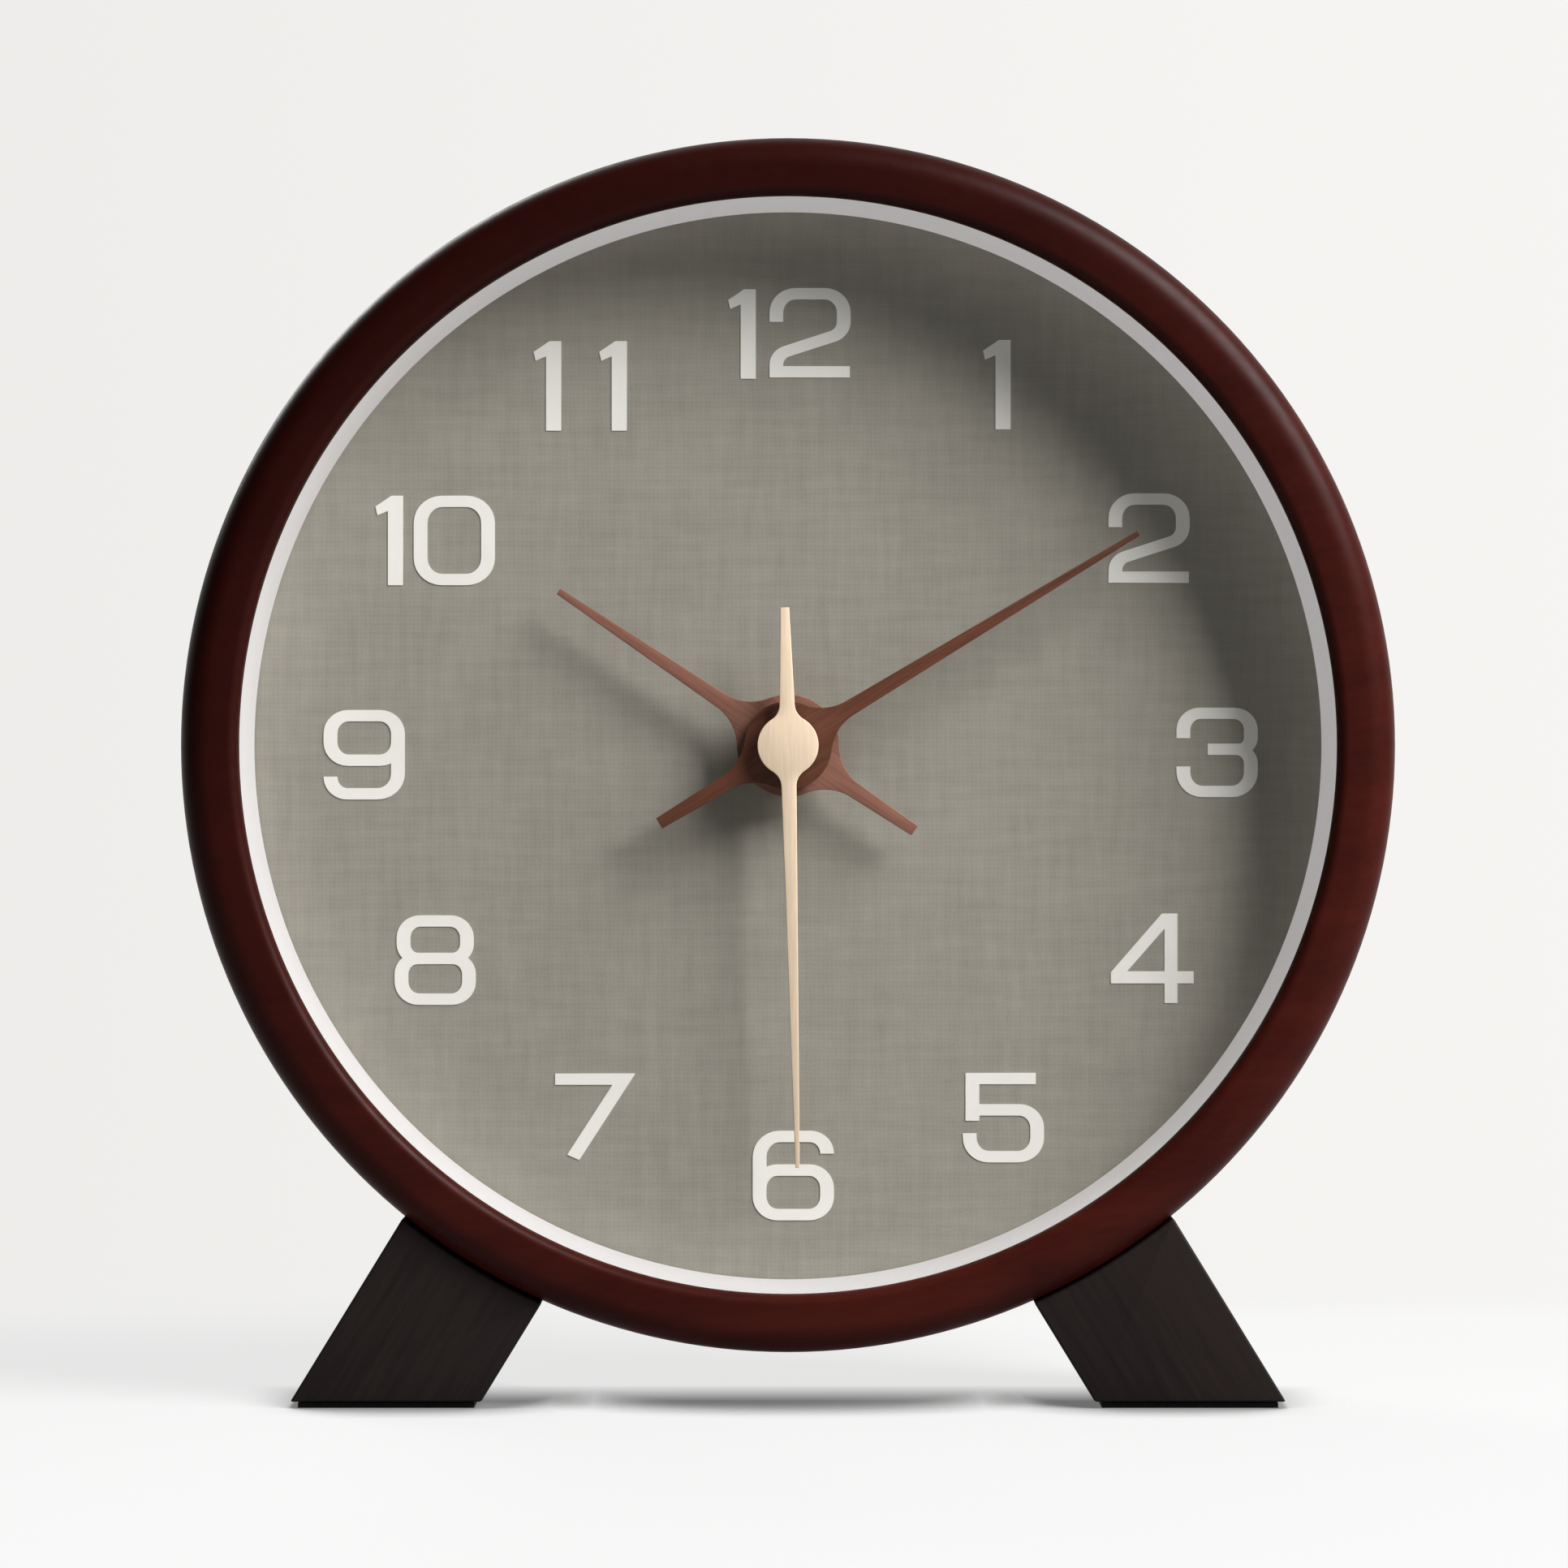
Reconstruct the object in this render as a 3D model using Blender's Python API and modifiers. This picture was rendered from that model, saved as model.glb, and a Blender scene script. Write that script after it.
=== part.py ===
"""Round desk clock: a turned wooden case on two raked feet, with a quartz movement inside.

Metres, +Z up. The dial faces -Y, and the origin is on the floor under the middle of the case.
Most pieces are modelled in the clock's own frame: x to the right, y up, z towards the viewer,
with the origin on the hands' axis at the front face of the dial.
"""

import math

import bmesh
import bpy

# Clearances
GAP = 0.0003
FIT = 0.00015
RUNNING = 0.0001
OVERRUN = 0.0010
WELD = 0.000005

# Case ring
CASE_RADIUS = 0.1000
FLOOR_ROOM = 0.0091
CASE_DEPTH = 0.0420
FACE_WIDTH = 0.0098
CASE_WALL = 0.0050
LIP_DEPTH = 0.0030
OUTER_ROUND = 0.0050
INNER_ROUND = 0.0018
BACK_ROUND = 0.0015
INNER_ROUND_STEPS = 2
OUTER_ROUND_STEPS = 5
BACK_ROUND_STEPS = 2
CASE_STEPS = 56

# What the case holds in front of the movement
RING_DEPTH = 0.0125
RING_STEP = 0.0002
RING_TAPER = 0.0011
LENS_THICK = 0.0018
LENS_BEVEL = 0.0004
DIAL_THICK = 0.0030

# Back
BOARD_THICK = 0.0035
RETAINER_WIDTH = 0.0100
HATCH_MARGIN = 0.0030
HATCH_ROUND = 0.0040

# Feet
FOOT_ANGLE = 31.5
FOOT_WIDTH = 0.0268
FOOT_DEPTH = 0.0360
FOOT_BEVEL = 0.0006
FOOT_BEVEL_STEPS = 2
FOOT_BEVEL_LIMIT = 50
FOOT_ARC_STEPS = 8
PAD_THICK = 0.0008
PAD_INSET = 0.0012

# Wood screws, for the back board and the feet
SCREW_HEAD_RADIUS = 0.0028
SCREW_HEAD_DEPTH = 0.0018
SCREW_RADIUS = 0.0015
SCREW_TIP = 0.0025
BOARD_SCREW_LENGTH = 0.0120
FOOT_SCREW_LENGTH = 0.0200
FOOT_SCREW_SPACING = 0.0180
BOARD_SCREW_ANGLES = (45, 135, 225, 315)
SCREW_STEPS = 8

# Hands, with the angles clockwise from 12
HAND_THICK = 0.0008
HOUR_HAND_LEVEL = 0.0050
MINUTE_HAND_LEVEL = 0.0070
SECOND_HAND_LEVEL = 0.0096
HOUR_ANGLE = 303.9
MINUTE_ANGLE = 58.8
SECOND_ANGLE = 178.7
HOUR_HUB_RADIUS = 0.0085
HOUR_HUB_FLARE = 0.0080
HOUR_LENGTH = 0.0460
HOUR_TAIL = 0.0254
HOUR_WIDTH = 0.0026
HOUR_TIP_WIDTH = 0.0011
HOUR_TAIL_WIDTH = 0.0019
MINUTE_HUB_RADIUS = 0.0073
MINUTE_HUB_FLARE = 0.0080
MINUTE_LENGTH = 0.0680
MINUTE_TAIL = 0.0250
MINUTE_WIDTH = 0.0026
MINUTE_TIP_WIDTH = 0.0009
MINUTE_TAIL_WIDTH = 0.0020
SECOND_HUB_RADIUS = 0.00505
SECOND_HUB_FLARE = 0.0030
SECOND_LENGTH = 0.0699
SECOND_TAIL = 0.0228
SECOND_WIDTH = 0.0025
SECOND_TIP_WIDTH = 0.0007
SECOND_TAIL_WIDTH = 0.0014
HUB_STEPS = 10
FLARE_STEPS = 5

# Hand fittings, from the arbor outwards
ARBOR_RADIUS = 0.00055
PIPE_WALL = 0.00045
COLLET_WALL = 0.0008
COLLET_DROP = 0.0005
PIPE_STANDOUT = 0.0003
SOCKET_LENGTH = 0.0008

# Dial mounting
BUSH_RADIUS = 0.0038
BUSH_TAIL_RADIUS = 0.0029
BUSH_FLANGE_RADIUS = 0.0060
BUSH_FLANGE_THICK = 0.0007
BUSH_STANDOUT = 0.0004
SEAL_THICK = 0.0010
SEAL_RADIUS = 0.0140
NUT_THICK = 0.0023
NUT_ACROSS_FLATS = 0.0110
NUT_WASHER_THICK = 0.0007
NUT_WASHER_RADIUS = 0.0065

# Movement housing
MOVEMENT_WIDTH = 0.0560
MOVEMENT_DEPTH = 0.0160
MOVEMENT_ROUND = 0.0020
HOUSING_WALL = 0.0012
COVER_THICK = 0.0012
BAY_WALL = 0.0010
BAY_TOP = -0.0109
BAY_ROUND = 0.0010
ROUND_STEPS = 3

# Battery and its contacts
BATTERY_RADIUS = 0.0071
BATTERY_LENGTH = 0.0504
BATTERY_NUB_RADIUS = 0.00275
BATTERY_NUB_LENGTH = 0.0010
BATTERY_EDGE = 0.0006
CONTACT_THICK = 0.0004
CONTACT_WIDTH = 0.0080
CONTACT_DIMPLE = 0.0004
CONTACT_NOTCH = 0.0012
CONTACT_INSET = 0.0010

# Wheels and pinions
WHEEL_THICK = 0.0009
LAYER_GAP = 0.0004
PINION_OVER = 0.0001
PIVOT_RADIUS = 0.0003
PIVOT_LENGTH = 0.0005
TOOTH_ROOT_SHARE = 0.25
TOOTH_TIP_SHARE = 0.10
ADDENDUM_SHARE = 0.85
DEDENDUM_SHARE = 1.20
PIPE_STEPS = 16
ARBOR_STEPS = 10

THIRD_DISTANCE = 0.0095
THIRD_DIRECTION = 60
INTERMEDIATE_DISTANCE = 0.0085
INTERMEDIATE_DIRECTION = 190
ROTOR_DISTANCE = 0.0080
ROTOR_DIRECTION = 75
MINUTE_WHEEL_DISTANCE = 0.0080
MINUTE_WHEEL_DIRECTION = 145
KNOB_DIRECTION = 165

ROTOR_PINION_TEETH = 6
INTERMEDIATE_TEETH = 36
INTERMEDIATE_PINION_TEETH = 8
SECONDS_TEETH = 40
SECONDS_PINION_TEETH = 6
THIRD_TEETH = 45
THIRD_PINION_TEETH = 6
CENTRE_TEETH = 48
CANNON_TEETH = 8
MINUTE_WHEEL_TEETH = 24
MINUTE_PINION_TEETH = 8
HOUR_WHEEL_TEETH = 32
SETTING_PINION_TEETH = 8

# Middle plate and the pillars that carry it
PLATE_THICK = 0.0009
PLATE_HALF_WIDTH = 0.0210
PLATE_TOP = 0.0160
PLATE_ROUND = 0.0030
PILLAR_RADIUS = 0.0015
PILLAR_X = 0.0192
PILLAR_LOW = -0.0065
PILLAR_HIGH = 0.0130
POST_RADIUS = 0.0005

# Motor
MAGNET_RADIUS = 0.0025
MAGNET_THICK = 0.0016
STATOR_THICK = 0.0008
STATOR_HOLE_RADIUS = 0.0030
STATOR_EYE_RADIUS = 0.0048
STATOR_ARM_WIDTH = 0.0050
STATOR_KNEE_Y = 0.0138
CORE_Y = 0.0210
CORE_SCREW_X = 0.0134
CORE_HALF_LENGTH = 0.0155
CORE_WIDTH = 0.0026
CORE_THICK = 0.0008
COIL_HALF_LENGTH = 0.0100
COIL_RADIUS = 0.0030
COIL_FLANGE_RADIUS = 0.0034
COIL_FLANGE_THICK = 0.0008
COIL_BORE_RADIUS = 0.0017
MOTOR_SCREW_RADIUS = 0.0006
MOTOR_SCREW_HEAD_RADIUS = 0.0012
MOTOR_SCREW_HEAD_THICK = 0.0006
MOTOR_SCREW_LENGTH = 0.0050
CORE_PILLAR_RADIUS = 0.0018

# Electronics
CIRCUIT_LEFT = 0.0090
CIRCUIT_RIGHT = 0.0240
CIRCUIT_TOP = 0.0140
CIRCUIT_THICK = 0.0008
CHIP_RADIUS = 0.0032
CHIP_HEIGHT = 0.0010
CHIP_TOP_SHARE = 0.5
CHIP_SHOULDER_SHARE = 0.8
CHIP_X = 0.0150
CHIP_Y = -0.0020
CRYSTAL_RADIUS = 0.0010
CRYSTAL_LENGTH = 0.0060
CRYSTAL_EDGE = 0.0002
CRYSTAL_X = 0.0200
CRYSTAL_Y = 0.0080

# Setting knob
SHAFT_RADIUS = 0.0011
KNOB_RADIUS = 0.0040
KNOB_THICK = 0.0025
KNOB_RIDGES = 18
KNOB_RIDGE_DEPTH = 0.0003
KNOB_RIDGE_SHARES = (0.3, 0.7)
KNOB_CAP = 0.0005

# Levels along the hands' axis, from the case's front to its back
RING_BACK = GAP
RING_FRONT = RING_BACK + RING_DEPTH
LENS_BACK = RING_FRONT + GAP
LENS_FRONT = LENS_BACK + LENS_THICK
LIP_BACK = LENS_FRONT + GAP
CASE_FRONT = LIP_BACK + LIP_DEPTH
CASE_BACK = CASE_FRONT - CASE_DEPTH
CASE_MIDDLE = (CASE_FRONT + CASE_BACK) / 2
BOARD_FRONT = CASE_BACK + BOARD_THICK
RETAINER_BACK = BOARD_FRONT + GAP
RETAINER_FRONT = -DIAL_THICK - GAP
SEAL_FRONT = -DIAL_THICK - GAP
MOVEMENT_FRONT = SEAL_FRONT - SEAL_THICK - GAP
MOVEMENT_BACK = MOVEMENT_FRONT - MOVEMENT_DEPTH
ROOM_FRONT = MOVEMENT_FRONT - HOUSING_WALL
COVER_FRONT = MOVEMENT_BACK + COVER_THICK

# The contacts run along the top of the bay's wall
ROOM_BOTTOM = BAY_TOP + BAY_WALL
CONTACT_TOP = ROOM_BOTTOM + GAP + CONTACT_THICK

# Radii that follow from the ones above, and the height of the hands' axis
AXIS_HEIGHT = CASE_RADIUS + FLOOR_ROOM
OPENING_RADIUS = CASE_RADIUS - FACE_WIDTH
RING_FRONT_RADIUS = OPENING_RADIUS + RING_STEP
RING_DIAL_RADIUS = RING_FRONT_RADIUS - RING_TAPER
REBATE_RADIUS = CASE_RADIUS - CASE_WALL
INSERT_RADIUS = REBATE_RADIUS - GAP
MINUTE_BORE = ARBOR_RADIUS + RUNNING
MINUTE_PIPE_RADIUS = MINUTE_BORE + PIPE_WALL
HOUR_BORE = MINUTE_PIPE_RADIUS + RUNNING
HOUR_PIPE_RADIUS = HOUR_BORE + PIPE_WALL
BUSH_BORE = HOUR_PIPE_RADIUS + RUNNING
PIVOT_HOLE_RADIUS = PIVOT_RADIUS + RUNNING


def behind(level, thickness):
    """The (back, front) of a layer that runs just behind a level."""
    front = level - LAYER_GAP
    return front - thickness, front


def widened(layer):
    """A pinion's layer: a little more than the wheel that it meshes with."""
    return layer[0] - PINION_OVER, layer[1] + PINION_OVER


HOUR_LAYER = behind(ROOM_FRONT, WHEEL_THICK)
MINUTE_LAYER = behind(HOUR_LAYER[0], WHEEL_THICK)
CENTRE_LAYER = behind(MINUTE_LAYER[0], WHEEL_THICK)
THIRD_LAYER = behind(CENTRE_LAYER[0], WHEEL_THICK)
PLATE_LAYER = behind(THIRD_LAYER[0], PLATE_THICK)
SECONDS_LAYER = behind(PLATE_LAYER[0], WHEEL_THICK)
INTERMEDIATE_LAYER = behind(SECONDS_LAYER[0], WHEEL_THICK)
MAGNET_LAYER = behind(INTERMEDIATE_LAYER[0], MAGNET_THICK)
STATOR_BACK = (MAGNET_LAYER[0] + MAGNET_LAYER[1] - STATOR_THICK) / 2
STATOR_FRONT = STATOR_BACK + STATOR_THICK
CORE_BACK = STATOR_FRONT + GAP
CORE_FRONT = CORE_BACK + CORE_THICK
CONTACT_LAYER = (COVER_FRONT + GAP, COVER_FRONT + GAP + CONTACT_WIDTH)
CIRCUIT_BACK = COVER_FRONT + GAP
CIRCUIT_FRONT = CIRCUIT_BACK + CIRCUIT_THICK


def polar(centre, distance, direction):
    """The point at a distance and a direction in degrees from another point."""
    angle = math.radians(direction)
    return centre[0] + distance * math.cos(angle), centre[1] + distance * math.sin(angle)


CENTRE = (0, 0)
THIRD = polar(CENTRE, THIRD_DISTANCE, THIRD_DIRECTION)
INTERMEDIATE = polar(CENTRE, INTERMEDIATE_DISTANCE, INTERMEDIATE_DIRECTION)
ROTOR = polar(INTERMEDIATE, ROTOR_DISTANCE, ROTOR_DIRECTION)
MINUTE_WHEEL = polar(CENTRE, MINUTE_WHEEL_DISTANCE, MINUTE_WHEEL_DIRECTION)


def module_of(distance, teeth_a, teeth_b):
    """The tooth module that lets two wheels mesh at a distance between their arbors."""
    return 2 * distance / (teeth_a + teeth_b)


TRAIN_MODULE = module_of(THIRD_DISTANCE, SECONDS_PINION_TEETH, THIRD_TEETH)
CENTRE_MODULE = module_of(THIRD_DISTANCE, THIRD_PINION_TEETH, CENTRE_TEETH)
SECONDS_MODULE = module_of(INTERMEDIATE_DISTANCE, INTERMEDIATE_PINION_TEETH, SECONDS_TEETH)
ROTOR_MODULE = module_of(ROTOR_DISTANCE, ROTOR_PINION_TEETH, INTERMEDIATE_TEETH)
CANNON_MODULE = module_of(MINUTE_WHEEL_DISTANCE, CANNON_TEETH, MINUTE_WHEEL_TEETH)
HOUR_MODULE = module_of(MINUTE_WHEEL_DISTANCE, MINUTE_PINION_TEETH, HOUR_WHEEL_TEETH)
KNOB_DISTANCE = CANNON_MODULE * (MINUTE_WHEEL_TEETH + SETTING_PINION_TEETH) / 2
KNOB = polar(MINUTE_WHEEL, KNOB_DISTANCE, KNOB_DIRECTION)


def meshed(teeth_a, phase_a, centre_a, teeth_b, centre_b):
    """The phase, in radians, at which wheel b's gaps take wheel a's teeth."""
    direction = math.atan2(centre_b[1] - centre_a[1], centre_b[0] - centre_a[0])
    return direction + math.pi - (teeth_a * (phase_a - direction) + math.pi) / teeth_b


THIRD_PHASE = meshed(SECONDS_PINION_TEETH, 0, CENTRE, THIRD_TEETH, THIRD)
CENTRE_PHASE = meshed(THIRD_PINION_TEETH, 0, THIRD, CENTRE_TEETH, CENTRE)
INTERMEDIATE_PHASE = meshed(SECONDS_TEETH, 0, CENTRE, INTERMEDIATE_PINION_TEETH, INTERMEDIATE)
ROTOR_PHASE = meshed(INTERMEDIATE_TEETH, 0, INTERMEDIATE, ROTOR_PINION_TEETH, ROTOR)
MINUTE_WHEEL_PHASE = meshed(CANNON_TEETH, 0, CENTRE, MINUTE_WHEEL_TEETH, MINUTE_WHEEL)
HOUR_WHEEL_PHASE = meshed(MINUTE_PINION_TEETH, 0, MINUTE_WHEEL, HOUR_WHEEL_TEETH, CENTRE)
SETTING_PHASE = meshed(
    MINUTE_WHEEL_TEETH, MINUTE_WHEEL_PHASE, MINUTE_WHEEL, SETTING_PINION_TEETH, KNOB
)


# Scene and materials
def clear_scene():
    for obj in list(bpy.data.objects):
        bpy.data.objects.remove(obj)


def collection(name, helper=False):
    made = bpy.data.collections.new(name)
    bpy.context.scene.collection.children.link(made)
    made.hide_render = helper
    return made


def material(name, colour, roughness, metallic=0.0):
    made = bpy.data.materials.new(name)
    made.use_nodes = True
    made.diffuse_color = (*colour, 1)
    shader = made.node_tree.nodes["Principled BSDF"]
    shader.inputs["Base Color"].default_value = (*colour, 1)
    shader.inputs["Roughness"].default_value = roughness
    shader.inputs["Metallic"].default_value = metallic
    return made


def empty(name, parts, location, parent=None, rotation=(0, 0, 0)):
    made = bpy.data.objects.new(name, None)
    made.location = location
    made.rotation_euler = rotation
    made.parent = parent
    parts.objects.link(made)
    return made


# Outlines, as lists of (x, y) points
def arc(centre, radius, start, end, steps):
    """Points along an arc, from one angle in degrees to another, both ends included."""
    turn = (end - start) / steps
    return [polar(centre, radius, start + turn * step) for step in range(steps + 1)]


def circle(centre, radius, steps):
    return arc(centre, radius, 0, 360, steps)[:-1]


def square_box(left, right, bottom, top):
    return [(left, bottom), (right, bottom), (right, top), (left, top)]


def rounded_box(left, right, bottom, top, radius):
    corners = (
        (right - radius, top - radius, 0),
        (left + radius, top - radius, 90),
        (left + radius, bottom + radius, 180),
        (right - radius, bottom + radius, 270),
    )
    points = []
    for x, y, start in corners:
        points += arc((x, y), radius, start, start + 90, ROUND_STEPS)
    return points


def capsule(start, end, width):
    """The outline of a bar with round ends, from one point to another."""
    direction = math.degrees(math.atan2(end[1] - start[1], end[0] - start[0]))
    right = arc(end, width / 2, direction - 90, direction + 90, HUB_STEPS)
    left = arc(start, width / 2, direction + 90, direction + 270, HUB_STEPS)
    return right + left


def toothed(teeth, module, phase):
    """The outline of a wheel or pinion whose first tooth points in the phase's direction."""
    pitch_radius = module * teeth / 2
    root = pitch_radius - DEDENDUM_SHARE * module
    tip = pitch_radius + ADDENDUM_SHARE * module
    flanks = (
        (root, -TOOTH_ROOT_SHARE),
        (tip, -TOOTH_TIP_SHARE),
        (tip, TOOTH_TIP_SHARE),
        (root, TOOTH_ROOT_SHARE),
    )
    pitch = 360 / teeth
    points = []
    for tooth in range(teeth):
        for radius, share in flanks:
            points.append(polar(CENTRE, radius, math.degrees(phase) + pitch * (tooth + share)))
    return points


def hand_side(hub, flare, length, width, end_width):
    """One edge of a hand's arm, from its end back to where its flare meets the hub."""
    across = width / 2 + flare
    up = math.sqrt((hub + flare) ** 2 - across**2)
    meeting = math.degrees(math.atan2(-up, -across)) + 360
    return [(end_width / 2, length)] + arc((across, up), flare, 180, meeting, FLARE_STEPS)


def hand_outline(hub, flare, arm, tail):
    """A hand's outline, pointing along +Y. arm and tail are (length, width, end width)."""
    upper = hand_side(hub, flare, *arm)
    lower = [(x, -y) for x, y in reversed(hand_side(hub, flare, *tail))]
    start = math.degrees(math.atan2(upper[-1][1], upper[-1][0]))
    end = math.degrees(math.atan2(lower[0][1], lower[0][0]))
    right = upper + arc(CENTRE, hub, start, end, HUB_STEPS)[1:-1] + lower
    return right + [(-x, y) for x, y in reversed(right)]


# Solids
def finish(obj, target, look, parent, location, turn):
    obj.location = location
    obj.rotation_euler = turn
    obj.parent = parent
    target.objects.link(obj)
    if look is None:
        obj.hide_render = True
        obj.display_type = "WIRE"
    else:
        obj.data.materials.append(look)
    return obj


def turned(name, profile, steps, target, look, parent, location=(0, 0, 0), turn=(0, 0, 0)):
    """A profile of (radius, z) points turned about z. It runs down the outer side."""
    closed = profile[0][0] > 0
    edges = [(i, i + 1) for i in range(len(profile) - 1)]
    if closed:
        edges.append((len(profile) - 1, 0))
    mesh = bpy.data.meshes.new(name)
    mesh.from_pydata([(radius, 0, z) for radius, z in profile], edges, [])
    obj = finish(bpy.data.objects.new(name, mesh), target, look, parent, location, turn)
    screw = obj.modifiers.new("turn", "SCREW")
    screw.axis = "Z"
    screw.steps = steps
    screw.render_steps = steps
    screw.use_merge_vertices = True
    screw.merge_threshold = WELD
    screw.use_smooth_shade = True
    return obj


def flat(name, outlines, layer, target, look, parent, location=(0, 0, 0), turn=(0, 0, 0)):
    """A flat piece between two levels. The first outline is its edge, the others are holes."""
    back, front = layer
    curve = bpy.data.curves.new(name + "_outline", "CURVE")
    curve.dimensions = "2D"
    curve.fill_mode = "BOTH"
    curve.extrude = (front - back) / 2
    for outline in outlines:
        spline = curve.splines.new("POLY")
        spline.points.add(len(outline) - 1)
        for point, (x, y) in zip(spline.points, outline):
            point.co = (x, y, 0, 1)
        spline.use_cyclic_u = True
    guide = bpy.data.objects.new(name + "_outline", curve)
    bpy.context.scene.collection.objects.link(guide)
    graph = bpy.context.evaluated_depsgraph_get()
    mesh = bpy.data.meshes.new_from_object(guide.evaluated_get(graph))
    mesh.name = name
    bpy.data.objects.remove(guide)
    body = bmesh.new()
    body.from_mesh(mesh)
    bmesh.ops.remove_doubles(body, verts=body.verts, dist=WELD)
    bmesh.ops.translate(body, verts=body.verts, vec=(0, 0, (front + back) / 2))
    bmesh.ops.recalc_face_normals(body, faces=body.faces)
    body.to_mesh(mesh)
    body.free()
    return finish(bpy.data.objects.new(name, mesh), target, look, parent, location, turn)


def combine(obj, other, operation):
    boolean = obj.modifiers.new(other.name, "BOOLEAN")
    boolean.operation = operation
    boolean.solver = "EXACT"
    boolean.object = other


def cut(obj, *others):
    for other in others:
        combine(obj, other, "DIFFERENCE")


def join(obj, *others):
    for other in others:
        combine(obj, other, "UNION")


def rod(radius, layer):
    """The profile of a plain round rod between two levels."""
    back, front = layer
    return [(0, front), (radius, front), (radius, back), (0, back)]


def tube(bore, radius, layer):
    """The profile of a plain tube between two levels."""
    back, front = layer
    return [(bore, front), (radius, front), (radius, back), (bore, back)]


def pivoted(radius, layer):
    """The profile of an arbor that ends in a thin pivot each way."""
    back, front = layer
    return [
        (0, front),
        (PIVOT_RADIUS, front),
        (PIVOT_RADIUS, front - PIVOT_LENGTH),
        (radius, front - PIVOT_LENGTH),
        (radius, back + PIVOT_LENGTH),
        (PIVOT_RADIUS, back + PIVOT_LENGTH),
        (PIVOT_RADIUS, back),
        (0, back),
    ]


# Case, lens and dial
def case_ring(parts, cutters, look, clock):
    """A turned wooden ring: a round front edge, and a rebate behind that holds the rest."""
    inner = (OPENING_RADIUS + INNER_ROUND, CASE_FRONT - INNER_ROUND)
    outer = (CASE_RADIUS - OUTER_ROUND, CASE_FRONT - OUTER_ROUND)
    back = (CASE_RADIUS - BACK_ROUND, CASE_BACK + BACK_ROUND)
    profile = [(OPENING_RADIUS, LIP_BACK)]
    profile += arc(inner, INNER_ROUND, 180, 90, INNER_ROUND_STEPS)
    profile += arc(outer, OUTER_ROUND, 90, 0, OUTER_ROUND_STEPS)
    profile += arc(back, BACK_ROUND, 0, -90, BACK_ROUND_STEPS)
    profile += [(REBATE_RADIUS, CASE_BACK), (REBATE_RADIUS, LIP_BACK)]
    ring = turned("case_ring", profile, CASE_STEPS, parts, look, clock)
    way = screw_profile(FOOT_SCREW_LENGTH, FIT, OVERRUN)
    for number, (place, turn) in enumerate(foot_screw_places()):
        name = f"foot_screw_way_{number}"
        cut(ring, turned(name, way, SCREW_STEPS, cutters, None, clock, place, turn))


def front_parts(parts, looks, clock):
    lens_profile = [
        (0, LENS_FRONT),
        (INSERT_RADIUS - LENS_BEVEL, LENS_FRONT),
        (INSERT_RADIUS, LENS_FRONT - LENS_BEVEL),
        (INSERT_RADIUS, LENS_BACK),
        (0, LENS_BACK),
    ]
    turned("lens", lens_profile, CASE_STEPS, parts, looks["clear"], clock)
    ring_profile = [
        (RING_FRONT_RADIUS, RING_FRONT),
        (INSERT_RADIUS, RING_FRONT),
        (INSERT_RADIUS, RING_BACK),
        (RING_DIAL_RADIUS, RING_BACK),
    ]
    turned("spacer_ring", ring_profile, CASE_STEPS, parts, looks["white"], clock)
    hole = BUSH_RADIUS + GAP
    dial_profile = tube(hole, INSERT_RADIUS, (-DIAL_THICK, 0))
    turned("dial", dial_profile, CASE_STEPS, parts, looks["dial"], clock)
    retainer = (RETAINER_BACK, RETAINER_FRONT)
    profile = tube(INSERT_RADIUS - RETAINER_WIDTH, INSERT_RADIUS, retainer)
    return turned("dial_retaining_ring", profile, CASE_STEPS, parts, looks["board"], clock)


# Wood screws
def screw_profile(length, clearance=0, overrun=0):
    """A countersunk screw whose head is flush with z = 0. Its way is the same plus a clearance."""
    head = SCREW_HEAD_RADIUS + clearance
    shank = SCREW_RADIUS + clearance
    points = [(0, overrun), (head, overrun)]
    if overrun:
        points.append((head, 0))
    return points + [
        (shank, -SCREW_HEAD_DEPTH),
        (shank, SCREW_TIP - length),
        (0, -length - clearance),
    ]


def foot_direction(side):
    """Which way a foot points from the clock's centre, in degrees."""
    return -90 + side * FOOT_ANGLE


def foot_screw_places():
    """The place and turn of each foot screw: its head is sunk in the case's inner wall."""
    places = []
    for side in (-1, 1):
        direction = foot_direction(side)
        x, y = polar(CENTRE, REBATE_RADIUS + GAP, direction)
        for along in (-1, 1):
            z = CASE_MIDDLE + along * FOOT_SCREW_SPACING / 2
            places.append(((x, y, z), (0, -math.pi / 2, math.radians(direction))))
    return places


def back_board(parts, cutters, looks, clock, retainer):
    half = MOVEMENT_WIDTH / 2 + HATCH_MARGIN
    outline = circle(CENTRE, INSERT_RADIUS, CASE_STEPS)
    hatch = rounded_box(-half, half, -half, half, HATCH_ROUND)
    layer = (CASE_BACK, BOARD_FRONT)
    board = flat("back_board", [outline, hatch], layer, parts, looks["board"], clock)
    middle = INSERT_RADIUS - RETAINER_WIDTH / 2
    upside_down = (math.pi, 0, 0)
    way = screw_profile(BOARD_SCREW_LENGTH, FIT, OVERRUN)
    screw = screw_profile(BOARD_SCREW_LENGTH)
    for number, angle in enumerate(BOARD_SCREW_ANGLES, 1):
        place = (*polar(CENTRE, middle, angle), CASE_BACK)
        name = f"board_screw_way_{number}"
        cutter = turned(name, way, SCREW_STEPS, cutters, None, clock, place, upside_down)
        cut(board, cutter)
        cut(retainer, cutter)
        name = f"board_screw_{number}"
        turned(name, screw, SCREW_STEPS, parts, looks["steel"], clock, place, upside_down)


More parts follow.
